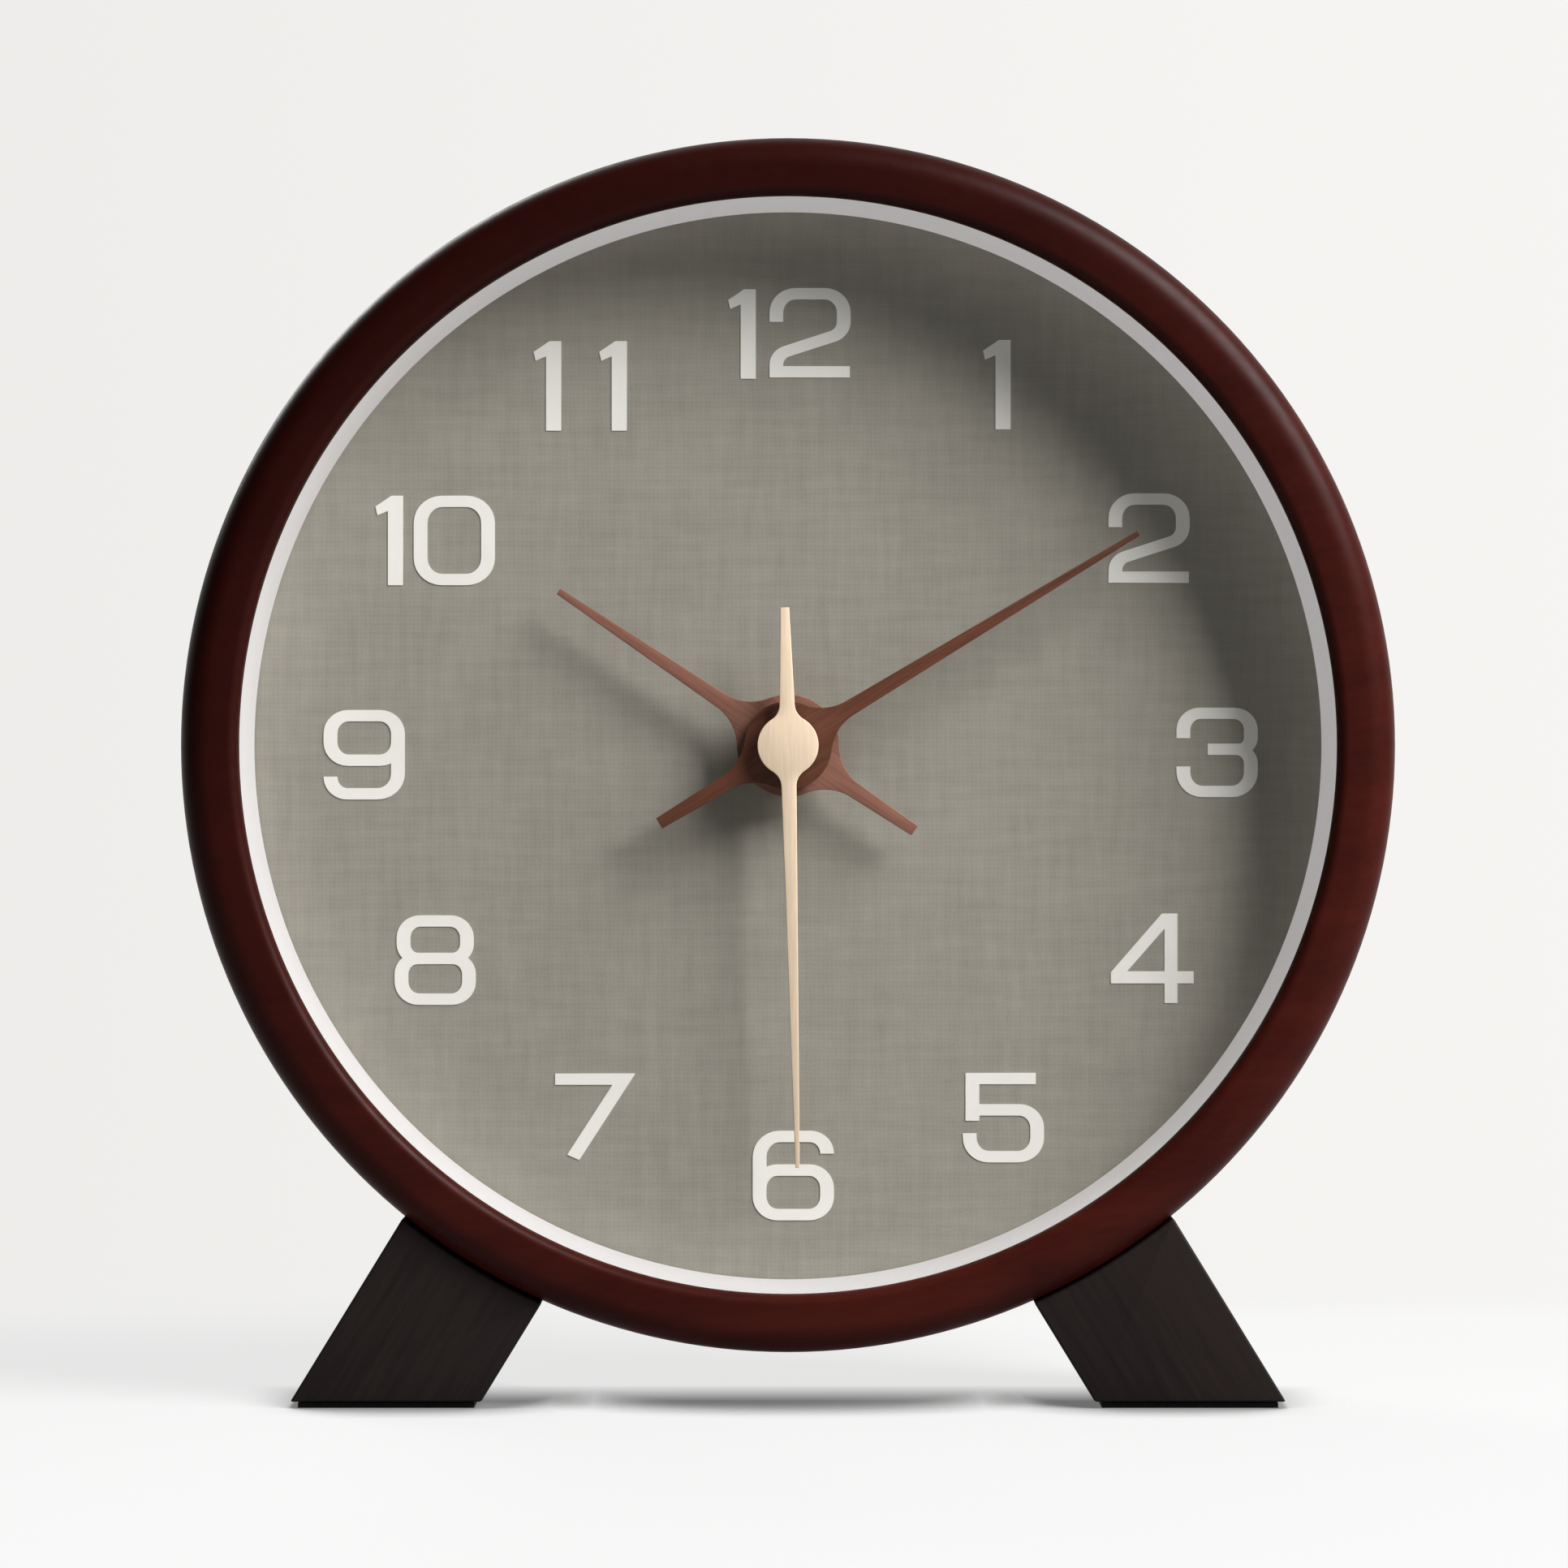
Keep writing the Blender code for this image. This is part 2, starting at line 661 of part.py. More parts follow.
# Feet
def foot_outline(side, inset, bottom, top_radius):
    """A foot's outline: its sides run along its direction, and its top follows a circle."""
    direction = foot_direction(side)
    half = FOOT_WIDTH / 2 - inset
    edge = math.degrees(math.asin(half / top_radius))
    top = arc(CENTRE, top_radius, direction + edge, direction - edge, FOOT_ARC_STEPS)
    along = math.radians(direction)
    ends = []
    for x, y in (top[-1], top[0]):
        ends.append((x + (bottom - y) / math.tan(along), bottom))
    return top + ends


def feet(parts, cutters, looks, clock):
    bottom = PAD_THICK + GAP - AXIS_HEIGHT
    layer = (CASE_MIDDLE - FOOT_DEPTH / 2, CASE_MIDDLE + FOOT_DEPTH / 2)
    pad_layer = (layer[0] + PAD_INSET, layer[1] - PAD_INSET)
    places = foot_screw_places()
    way = screw_profile(FOOT_SCREW_LENGTH, FIT, OVERRUN)
    screw = screw_profile(FOOT_SCREW_LENGTH)
    for side, name in ((-1, "left"), (1, "right")):
        outline = foot_outline(side, 0, bottom, CASE_RADIUS + GAP)
        foot = flat(f"foot_{name}", [outline], layer, parts, looks["foot"], clock)
        bevel = foot.modifiers.new("edges", "BEVEL")
        bevel.width = FOOT_BEVEL
        bevel.segments = FOOT_BEVEL_STEPS
        bevel.limit_method = "ANGLE"
        bevel.angle_limit = math.radians(FOOT_BEVEL_LIMIT)
        for number in range(2):
            place, turn = places[number + side + 1]
            label = f"foot_way_{name}_{number + 1}"
            cut(foot, turned(label, way, SCREW_STEPS, cutters, None, clock, place, turn))
            label = f"foot_screw_{name}_{number + 1}"
            turned(label, screw, SCREW_STEPS, parts, looks["steel"], clock, place, turn)
        foot_pad(side, name, outline, pad_layer, parts, looks, clock)


def foot_pad(side, name, outline, layer, parts, looks, clock):
    """A thin pad under a foot, a little smaller all round."""
    inner = min(outline[-2][0] * side, outline[-1][0] * side) + PAD_INSET
    outer = max(outline[-2][0] * side, outline[-1][0] * side) - PAD_INSET
    left, right = sorted((inner * side, outer * side))
    bottom = -AXIS_HEIGHT
    pad = square_box(left, right, bottom, bottom + PAD_THICK)
    flat(f"foot_pad_{name}", [pad], layer, parts, looks["rubber"], clock)


# Hands and their fittings
def hands(parts, looks, axes):
    hour = hand_outline(
        HOUR_HUB_RADIUS,
        HOUR_HUB_FLARE,
        (HOUR_LENGTH, HOUR_WIDTH, HOUR_TIP_WIDTH),
        (HOUR_TAIL, HOUR_WIDTH, HOUR_TAIL_WIDTH),
    )
    minute = hand_outline(
        MINUTE_HUB_RADIUS,
        MINUTE_HUB_FLARE,
        (MINUTE_LENGTH, MINUTE_WIDTH, MINUTE_TIP_WIDTH),
        (MINUTE_TAIL, MINUTE_WIDTH, MINUTE_TAIL_WIDTH),
    )
    second = hand_outline(
        SECOND_HUB_RADIUS,
        SECOND_HUB_FLARE,
        (SECOND_LENGTH, SECOND_WIDTH, SECOND_TIP_WIDTH),
        (SECOND_TAIL, SECOND_WIDTH, SECOND_TAIL_WIDTH),
    )
    pipes = {"hour": HOUR_PIPE_RADIUS, "minute": MINUTE_PIPE_RADIUS}
    for name, outline, level, angle in (
        ("hour", hour, HOUR_HAND_LEVEL, HOUR_ANGLE),
        ("minute", minute, MINUTE_HAND_LEVEL, MINUTE_ANGLE),
        ("second", second, SECOND_HAND_LEVEL, SECOND_ANGLE),
    ):
        axis = axes[name]
        turn = (0, 0, -math.radians(angle))
        outlines = [outline]
        if name in pipes:
            bore = pipes[name] + FIT
            outer = bore + COLLET_WALL
            collet = tube(bore, outer, (level - COLLET_DROP, level + HAND_THICK))
            label = f"{name}_hand_collet"
            turned(label, collet, PIPE_STEPS, parts, looks["brass"], axis)
            outlines.append(circle(CENTRE, outer + FIT, PIPE_STEPS))
        layer = (level, level + HAND_THICK)
        look = looks[f"{name}_hand"]
        flat(f"{name}_hand", outlines, layer, parts, look, axis, turn=turn)
    bore = ARBOR_RADIUS + FIT
    top = SECOND_HAND_LEVEL - FIT
    socket = tube(bore, bore + COLLET_WALL, (top - SOCKET_LENGTH, top))
    turned("second_hand_socket", socket, PIPE_STEPS, parts, looks["brass"], axes["second"])


# Movement
def dial_mounting(parts, looks, clock):
    flange_back = MOVEMENT_FRONT + FIT
    flange_front = flange_back + BUSH_FLANGE_THICK
    washer = (GAP, GAP + NUT_WASHER_THICK)
    nut = (washer[1] + GAP, washer[1] + GAP + NUT_THICK)
    profile = [
        (BUSH_BORE, nut[1] + BUSH_STANDOUT),
        (BUSH_RADIUS, nut[1] + BUSH_STANDOUT),
        (BUSH_RADIUS, flange_front),
        (BUSH_FLANGE_RADIUS, flange_front),
        (BUSH_FLANGE_RADIUS, flange_back),
        (BUSH_TAIL_RADIUS, flange_back),
        (BUSH_TAIL_RADIUS, ROOM_FRONT),
        (BUSH_BORE, ROOM_FRONT),
    ]
    turned("centre_bush", profile, PIPE_STEPS, parts, looks["brass"], clock)
    seal = tube(BUSH_FLANGE_RADIUS + GAP, SEAL_RADIUS, (SEAL_FRONT - SEAL_THICK, SEAL_FRONT))
    turned("dial_washer", seal, PIPE_STEPS, parts, looks["rubber"], clock)
    profile = tube(BUSH_RADIUS + FIT, NUT_WASHER_RADIUS, washer)
    turned("nut_washer", profile, PIPE_STEPS, parts, looks["brass"], clock)
    corners = NUT_ACROSS_FLATS / 2 / math.cos(math.pi / 6)
    outlines = [circle(CENTRE, corners, 6), circle(CENTRE, BUSH_RADIUS + FIT, PIPE_STEPS)]
    flat("hex_nut", outlines, nut, parts, looks["brass"], clock)


def housing(parts, cutters, looks, clock):
    half = MOVEMENT_WIDTH / 2
    inner = half - HOUSING_WALL
    edge = rounded_box(-half, half, -half, half, MOVEMENT_ROUND)
    hole = circle(CENTRE, BUSH_TAIL_RADIUS + FIT, PIPE_STEPS)
    layer = (MOVEMENT_BACK, MOVEMENT_FRONT)
    box = flat("movement_housing", [edge, hole], layer, parts, looks["plastic"], clock)
    deep = (MOVEMENT_BACK - OVERRUN, ROOM_FRONT)
    room = rounded_box(-inner, inner, ROOM_BOTTOM, inner, BAY_ROUND)
    bay = rounded_box(-inner, inner, -inner, BAY_TOP, BAY_ROUND)
    notch_layer = (MOVEMENT_BACK - OVERRUN, CONTACT_LAYER[1] + GAP)
    cut(box, flat("room_cutter", [room], deep, cutters, None, clock))
    cut(box, flat("bay_cutter", [bay], deep, cutters, None, clock))
    for side, name in ((-1, "left"), (1, "right")):
        left, right = sorted((side * (inner - CONTACT_NOTCH), side * inner))
        slot = square_box(left, right, BAY_TOP - OVERRUN, ROOM_BOTTOM + OVERRUN)
        cut(box, flat(f"contact_slot_{name}", [slot], notch_layer, cutters, None, clock))
    for number, (x, y, radius, level) in enumerate(pillar_places()):
        low = level + GAP
        pillar = rod(radius, (low, MOVEMENT_FRONT - HOUSING_WALL / 2))
        name = f"pillar_{number}"
        post = turned(name, pillar, ARBOR_STEPS, cutters, None, clock, (x, y, 0))
        join(box, post)
    for side in (-1, 1):
        place = (side * CORE_SCREW_X, CORE_Y, 0)
        way = rod(MOTOR_SCREW_RADIUS + FIT, (STATOR_BACK, STATOR_BACK + MOTOR_SCREW_LENGTH))
        name = f"motor_screw_way_{side}"
        cut(box, turned(name, way, ARBOR_STEPS, cutters, None, clock, place))
    pivot = rod(PIVOT_HOLE_RADIUS, (ROOM_FRONT - OVERRUN, ROOM_FRONT + PIVOT_LENGTH + FIT))
    place = (*THIRD, 0)
    cut(box, turned("third_pivot_hole", pivot, ARBOR_STEPS, cutters, None, clock, place))


def pillar_places():
    """(x, y, radius, the level that it reaches back to) of each pillar in the housing."""
    places = [
        (side * PILLAR_X, y, PILLAR_RADIUS, PLATE_LAYER[1])
        for side in (-1, 1)
        for y in (PILLAR_LOW, PILLAR_HIGH)
    ]
    places += [
        (side * CORE_SCREW_X, CORE_Y, CORE_PILLAR_RADIUS, CORE_FRONT) for side in (-1, 1)
    ]
    places.append((*MINUTE_WHEEL, POST_RADIUS, MINUTE_LAYER[0]))
    return places


def middle_plate(parts, looks, clock):
    bottom = CONTACT_TOP + GAP
    edge = rounded_box(-PLATE_HALF_WIDTH, PLATE_HALF_WIDTH, bottom, PLATE_TOP, PLATE_ROUND)
    holes = [
        circle(CENTRE, ARBOR_RADIUS + RUNNING, ARBOR_STEPS),
        circle(KNOB, SHAFT_RADIUS + RUNNING, ARBOR_STEPS),
    ]
    for place in (THIRD, INTERMEDIATE, ROTOR):
        holes.append(circle(place, PIVOT_HOLE_RADIUS, ARBOR_STEPS))
    flat("middle_plate", [edge, *holes], PLATE_LAYER, parts, looks["plastic"], clock)


def back_cover(parts, cutters, looks, clock):
    half = MOVEMENT_WIDTH / 2 - HOUSING_WALL - GAP
    bottom = ROOM_BOTTOM + GAP
    edge = rounded_box(-half, half, bottom, half, BAY_ROUND)
    hole = circle(KNOB, SHAFT_RADIUS + RUNNING, ARBOR_STEPS)
    layer = (MOVEMENT_BACK, COVER_FRONT)
    cover = flat("movement_cover", [edge, hole], layer, parts, looks["plastic"], clock)
    for name, place in (("seconds", CENTRE), ("intermediate", INTERMEDIATE), ("rotor", ROTOR)):
        pivot = rod(PIVOT_HOLE_RADIUS, (COVER_FRONT - PIVOT_LENGTH - FIT, COVER_FRONT + OVERRUN))
        name = f"{name}_pivot_hole"
        cut(cover, turned(name, pivot, ARBOR_STEPS, cutters, None, clock, (*place, 0)))


def wheel_piece(name, arbor, rims, parts, cutters, look, axis, steps=ARBOR_STEPS):
    """An arbor or pipe with its toothed rims. A rim is (teeth, module, phase, layer, bore)."""
    piece = turned(name, arbor, steps, parts, look, axis)
    for number, (teeth, module, phase, layer, bore) in enumerate(rims):
        outlines = [toothed(teeth, module, phase)]
        if bore:
            outlines.append(circle(CENTRE, bore, steps))
        rim = flat(f"{name}_rim_{number}", outlines, layer, cutters, None, axis)
        join(piece, rim)
    return piece


def wheels(parts, cutters, looks, axes):
    """The train from the rotor to the centre wheel, and the motion work to the hour wheel."""
    plastic = looks["wheel"]
    metal = looks["brass"]
    pivot_seat = COVER_FRONT - PIVOT_LENGTH
    second_top = SECOND_HAND_LEVEL - GAP
    seconds_arbor = [
        (0, second_top),
        (ARBOR_RADIUS, second_top),
        (ARBOR_RADIUS, COVER_FRONT + GAP),
        (PIVOT_RADIUS, COVER_FRONT + GAP),
        (PIVOT_RADIUS, pivot_seat),
        (0, pivot_seat),
    ]
    rims = [
        (SECONDS_TEETH, SECONDS_MODULE, 0, SECONDS_LAYER, 0),
        (SECONDS_PINION_TEETH, TRAIN_MODULE, 0, widened(THIRD_LAYER), 0),
    ]
    wheel_piece("seconds_wheel", seconds_arbor, rims, parts, cutters, metal, axes["second"])

    arbor = pivoted(POST_RADIUS, (PLATE_LAYER[1] - PIVOT_LENGTH, ROOM_FRONT + PIVOT_LENGTH))
    pinion = (THIRD_LAYER[0], CENTRE_LAYER[1] + PINION_OVER)
    rims = [
        (THIRD_TEETH, TRAIN_MODULE, THIRD_PHASE, THIRD_LAYER, 0),
        (THIRD_PINION_TEETH, CENTRE_MODULE, 0, pinion, 0),
    ]
    wheel_piece("third_wheel", arbor, rims, parts, cutters, plastic, axes["third"])

    arbor = pivoted(POST_RADIUS, (pivot_seat, PLATE_LAYER[0] + PIVOT_LENGTH))
    pinion = (INTERMEDIATE_LAYER[0], SECONDS_LAYER[1] + PINION_OVER)
    rims = [
        (INTERMEDIATE_TEETH, ROTOR_MODULE, 0, INTERMEDIATE_LAYER, 0),
        (INTERMEDIATE_PINION_TEETH, SECONDS_MODULE, INTERMEDIATE_PHASE, pinion, 0),
    ]
    wheel_piece(
        "intermediate_wheel", arbor, rims, parts, cutters, plastic, axes["intermediate"]
    )

    pinion = (MAGNET_LAYER[0], INTERMEDIATE_LAYER[1] + PINION_OVER)
    rims = [(ROTOR_PINION_TEETH, ROTOR_MODULE, ROTOR_PHASE, pinion, 0)]
    rotor = wheel_piece("rotor", arbor, rims, parts, cutters, looks["magnet"], axes["rotor"])
    magnet = rod(MAGNET_RADIUS, MAGNET_LAYER)
    join(rotor, turned("rotor_magnet", magnet, PIPE_STEPS, cutters, None, axes["rotor"]))

    pipe_top = MINUTE_HAND_LEVEL + HAND_THICK + PIPE_STANDOUT
    pipe_back = CENTRE_LAYER[0] - PINION_OVER
    wall = (MINUTE_BORE + MINUTE_PIPE_RADIUS) / 2
    pipe = tube(MINUTE_BORE, MINUTE_PIPE_RADIUS, (pipe_back, pipe_top))
    rims = [(CANNON_TEETH, CANNON_MODULE, 0, widened(MINUTE_LAYER), wall)]
    wheel_piece("minute_pipe", pipe, rims, parts, cutters, metal, axes["minute"], PIPE_STEPS)
    outline = toothed(CENTRE_TEETH, CENTRE_MODULE, CENTRE_PHASE)
    bore = circle(CENTRE, MINUTE_PIPE_RADIUS + FIT, PIPE_STEPS)
    flat("centre_wheel", [outline, bore], CENTRE_LAYER, parts, plastic, axes["minute"])

    pipe_top = HOUR_HAND_LEVEL + HAND_THICK + PIPE_STANDOUT
    pipe = tube(HOUR_BORE, HOUR_PIPE_RADIUS, (HOUR_LAYER[0], pipe_top))
    wall = (HOUR_BORE + HOUR_PIPE_RADIUS) / 2
    rims = [(HOUR_WHEEL_TEETH, HOUR_MODULE, HOUR_WHEEL_PHASE, HOUR_LAYER, wall)]
    wheel_piece("hour_wheel", pipe, rims, parts, cutters, plastic, axes["hour"], PIPE_STEPS)

    bore = POST_RADIUS + RUNNING
    hub = tube(bore, POST_RADIUS + PIPE_WALL, (MINUTE_LAYER[0], HOUR_LAYER[1] + PINION_OVER))
    wall = bore + PIPE_WALL / 2
    pinion = (MINUTE_LAYER[0] + WHEEL_THICK / 2, HOUR_LAYER[1] + PINION_OVER)
    rims = [
        (MINUTE_WHEEL_TEETH, CANNON_MODULE, MINUTE_WHEEL_PHASE, MINUTE_LAYER, wall),
        (MINUTE_PINION_TEETH, HOUR_MODULE, 0, pinion, wall),
    ]
    wheel_piece("minute_wheel", hub, rims, parts, cutters, plastic, axes["minute_wheel"])


def setting_knob(parts, cutters, looks, axes):
    knob_front = MOVEMENT_BACK - GAP
    knob_back = knob_front - KNOB_THICK
    shaft_back = knob_back + KNOB_CAP + FIT
    shaft = rod(SHAFT_RADIUS, (shaft_back, ROOM_FRONT - GAP))
    pinion = widened(MINUTE_LAYER)
    rims = [(SETTING_PINION_TEETH, CANNON_MODULE, SETTING_PHASE, pinion, 0)]
    axis = axes["knob"]
    wheel_piece("setting_shaft", shaft, rims, parts, cutters, looks["wheel"], axis)
    ridges = []
    pitch = 360 / KNOB_RIDGES
    valley = KNOB_RADIUS - KNOB_RIDGE_DEPTH
    for ridge in range(KNOB_RIDGES):
        ridges.append(polar(CENTRE, valley, pitch * ridge))
        for share in KNOB_RIDGE_SHARES:
            ridges.append(polar(CENTRE, KNOB_RADIUS, pitch * (ridge + share)))
    layer = (knob_back, knob_front)
    knob = flat("setting_knob", [ridges], layer, parts, looks["knob"], axis)
    socket = rod(SHAFT_RADIUS + FIT, (shaft_back - FIT, knob_front + OVERRUN))
    cut(knob, turned("knob_socket", socket, ARBOR_STEPS, cutters, None, axis))


# Motor
def motor(parts, cutters, looks, clock):
    left = (-CORE_SCREW_X, CORE_Y)
    right = (CORE_SCREW_X, CORE_Y)
    layer = (STATOR_BACK, STATOR_FRONT)
    eye = circle(ROTOR, STATOR_EYE_RADIUS, PIPE_STEPS)
    stator = flat("stator", [eye], layer, parts, looks["iron"], clock)
    for name, end in (("left", left), ("right", right)):
        knee = (end[0], STATOR_KNEE_Y)
        for part, (start, stop) in (("arm", (ROTOR, knee)), ("leg", (knee, end))):
            outline = capsule(start, stop, STATOR_ARM_WIDTH)
            label = f"stator_{part}_{name}"
            join(stator, flat(label, [outline], layer, cutters, None, clock))
    through = (STATOR_BACK - OVERRUN, STATOR_FRONT + OVERRUN)
    gap = circle(ROTOR, STATOR_HOLE_RADIUS, PIPE_STEPS)
    cut(stator, flat("rotor_gap", [gap], through, cutters, None, clock))
    way = MOTOR_SCREW_RADIUS + FIT
    for name, end in (("left", left), ("right", right)):
        hole = circle(end, way, ARBOR_STEPS)
        cut(stator, flat(f"stator_hole_{name}", [hole], through, cutters, None, clock))

    low = CORE_Y - CORE_WIDTH / 2
    high = CORE_Y + CORE_WIDTH / 2
    bar = square_box(-CORE_HALF_LENGTH, CORE_HALF_LENGTH, low, high)
    holes = [circle(end, way, ARBOR_STEPS) for end in (left, right)]
    layer = (CORE_BACK, CORE_FRONT)
    flat("coil_core", [bar, *holes], layer, parts, looks["iron"], clock)

    flange = COIL_HALF_LENGTH - COIL_FLANGE_THICK
    profile = [
        (COIL_BORE_RADIUS, COIL_HALF_LENGTH),
        (COIL_FLANGE_RADIUS, COIL_HALF_LENGTH),
        (COIL_FLANGE_RADIUS, flange),
        (COIL_RADIUS, flange),
        (COIL_RADIUS, -flange),
        (COIL_FLANGE_RADIUS, -flange),
        (COIL_FLANGE_RADIUS, -COIL_HALF_LENGTH),
        (COIL_BORE_RADIUS, -COIL_HALF_LENGTH),
    ]
    place = (0, CORE_Y, (CORE_FRONT + CORE_BACK) / 2)
    sideways = (0, math.pi / 2, 0)
    turned("coil", profile, PIPE_STEPS, parts, looks["copper"], clock, place, sideways)

    head_front = STATOR_BACK - GAP
    tip = head_front + MOTOR_SCREW_LENGTH
    head_back = head_front - MOTOR_SCREW_HEAD_THICK
    profile = [
        (0, tip),
        (MOTOR_SCREW_RADIUS, tip),
        (MOTOR_SCREW_RADIUS, head_front),
        (MOTOR_SCREW_HEAD_RADIUS, head_front),
        (MOTOR_SCREW_HEAD_RADIUS, head_back),
        (0, head_back),
    ]
    for name, (x, y) in (("left", left), ("right", right)):
        label = f"motor_screw_{name}"
        turned(label, profile, ARBOR_STEPS, parts, looks["steel"], clock, (x, y, 0))


# Electronics and battery
def electronics(parts, looks, clock):
    bottom = CONTACT_TOP + GAP
    board = rounded_box(CIRCUIT_LEFT, CIRCUIT_RIGHT, bottom, CIRCUIT_TOP, BAY_ROUND)
    layer = (CIRCUIT_BACK, CIRCUIT_FRONT)
    flat("circuit_board", [board], layer, parts, looks["circuit"], clock)
    base = CIRCUIT_FRONT + FIT
    shoulder = (CHIP_RADIUS * CHIP_TOP_SHARE, base + CHIP_HEIGHT * CHIP_SHOULDER_SHARE)
    dome = [(0, base + CHIP_HEIGHT), shoulder, (CHIP_RADIUS, base), (0, base)]
    turned("clock_chip", dome, PIPE_STEPS, parts, looks["chip"], clock, (CHIP_X, CHIP_Y, 0))
    half = CRYSTAL_LENGTH / 2
    edge = CRYSTAL_RADIUS - CRYSTAL_EDGE
    can = [
        (0, half),
        (edge, half),
        (CRYSTAL_RADIUS, half - CRYSTAL_EDGE),
        (CRYSTAL_RADIUS, -half),
        (0, -half),
    ]
    place = (CRYSTAL_X, CRYSTAL_Y, base + CRYSTAL_RADIUS)
    lying = (math.pi / 2, 0, 0)
    turned("quartz_crystal", can, ARBOR_STEPS, parts, looks["steel"], clock, place, lying)


def battery(parts, looks, clock):
    inner = MOVEMENT_WIDTH / 2 - HOUSING_WALL
    centre_y = BAY_TOP - (BAY_TOP + inner) / 2
    level = ROOM_FRONT - GAP - BATTERY_RADIUS
    half = BATTERY_LENGTH / 2
    shoulder = half - BATTERY_NUB_LENGTH
    profile = [
        (0, half),
        (BATTERY_NUB_RADIUS, half),
        (BATTERY_NUB_RADIUS, shoulder),
        (BATTERY_RADIUS - BATTERY_EDGE, shoulder),
        (BATTERY_RADIUS, shoulder - BATTERY_EDGE),
        (BATTERY_RADIUS, BATTERY_EDGE - half),
        (BATTERY_RADIUS - BATTERY_EDGE, -half),
        (0, -half),
    ]
    place = (0, centre_y, level)
    sideways = (0, math.pi / 2, 0)
    turned("battery", profile, PIPE_STEPS, parts, looks["battery"], clock, place, sideways)

    wall = inner - GAP - CONTACT_THICK / 2
    low = centre_y - BATTERY_RADIUS / 2
    top = CONTACT_TOP - CONTACT_THICK / 2
    dimple = wall - CONTACT_DIMPLE
    rise = BATTERY_NUB_RADIUS
    side = [
        (wall, low),
        (wall, centre_y - rise),
        (dimple, centre_y),
        (wall, centre_y + rise),
        (wall, top),
    ]
    right = (1, CIRCUIT_RIGHT - CONTACT_INSET)
    left = (-1, CIRCUIT_LEFT + CONTACT_INSET)
    for name, (sign, end) in (("positive", right), ("negative", left)):
        path = [(sign * x, y) for x, y in side] + [(end, top)]
        contact_strip(f"battery_contact_{name}", path, parts, looks["steel"], clock)


def contact_strip(name, path, parts, look, clock):
    """A bent metal strip that stands on edge along a path in the movement's plane."""
    sheet = bmesh.new()
    verts = [sheet.verts.new((x, y, CONTACT_LAYER[0])) for x, y in path]
    edges = [sheet.edges.new(pair) for pair in zip(verts, verts[1:])]
    raised = bmesh.ops.extrude_edge_only(sheet, edges=edges)["geom"]
    moved = [item for item in raised if isinstance(item, bmesh.types.BMVert)]
    bmesh.ops.translate(sheet, verts=moved, vec=(0, 0, CONTACT_WIDTH))
    bmesh.ops.recalc_face_normals(sheet, faces=sheet.faces)
    mesh = bpy.data.meshes.new(name)
    sheet.to_mesh(mesh)
    sheet.free()
    strip = finish(bpy.data.objects.new(name, mesh), parts, look, clock, (0, 0, 0), (0, 0, 0))
    wall = strip.modifiers.new("wall", "SOLIDIFY")
    wall.thickness = CONTACT_THICK
    wall.offset = 0
    wall.use_even_offset = True


def materials():
    return {
        "rim": material("stained_wood", (0.045, 0.012, 0.010), 0.38),
        "foot": material("black_wood", (0.022, 0.017, 0.016), 0.45),
        "white": material("white_lacquer", (0.80, 0.80, 0.79), 0.45),
        "dial": material("dial_paper", (0.34, 0.32, 0.27), 0.85),
        "clear": material("clear_acrylic", (0.90, 0.93, 0.93), 0.05),
        "board": material("fibreboard", (0.30, 0.19, 0.11), 0.80),
        "rubber": material("black_rubber", (0.02, 0.02, 0.02), 0.80),
        "hour_hand": material("hour_hand_wood", (0.24, 0.08, 0.055), 0.50),
        "minute_hand": material("minute_hand_wood", (0.15, 0.042, 0.028), 0.50),
        "second_hand": material("second_hand_wood", (0.87, 0.71, 0.52), 0.50),
        "plastic": material("movement_plastic", (0.03, 0.03, 0.03), 0.50),
        "wheel": material("wheel_plastic", (0.75, 0.74, 0.70), 0.40),
        "knob": material("knob_plastic", (0.05, 0.05, 0.05), 0.45),
        "brass": material("brass", (0.72, 0.53, 0.22), 0.30, 1.0),
        "steel": material("plated_steel", (0.62, 0.62, 0.60), 0.30, 1.0),
        "iron": material("stator_iron", (0.45, 0.45, 0.46), 0.40, 1.0),
        "copper": material("copper_winding", (0.60, 0.25, 0.12), 0.35, 1.0),
        "magnet": material("rotor_magnet", (0.12, 0.12, 0.13), 0.40),
        "circuit": material("circuit_board_green", (0.04, 0.20, 0.09), 0.50),
        "chip": material("chip_resin", (0.01, 0.01, 0.01), 0.30),
        "battery": material("battery_sleeve", (0.10, 0.11, 0.13), 0.35),
    }


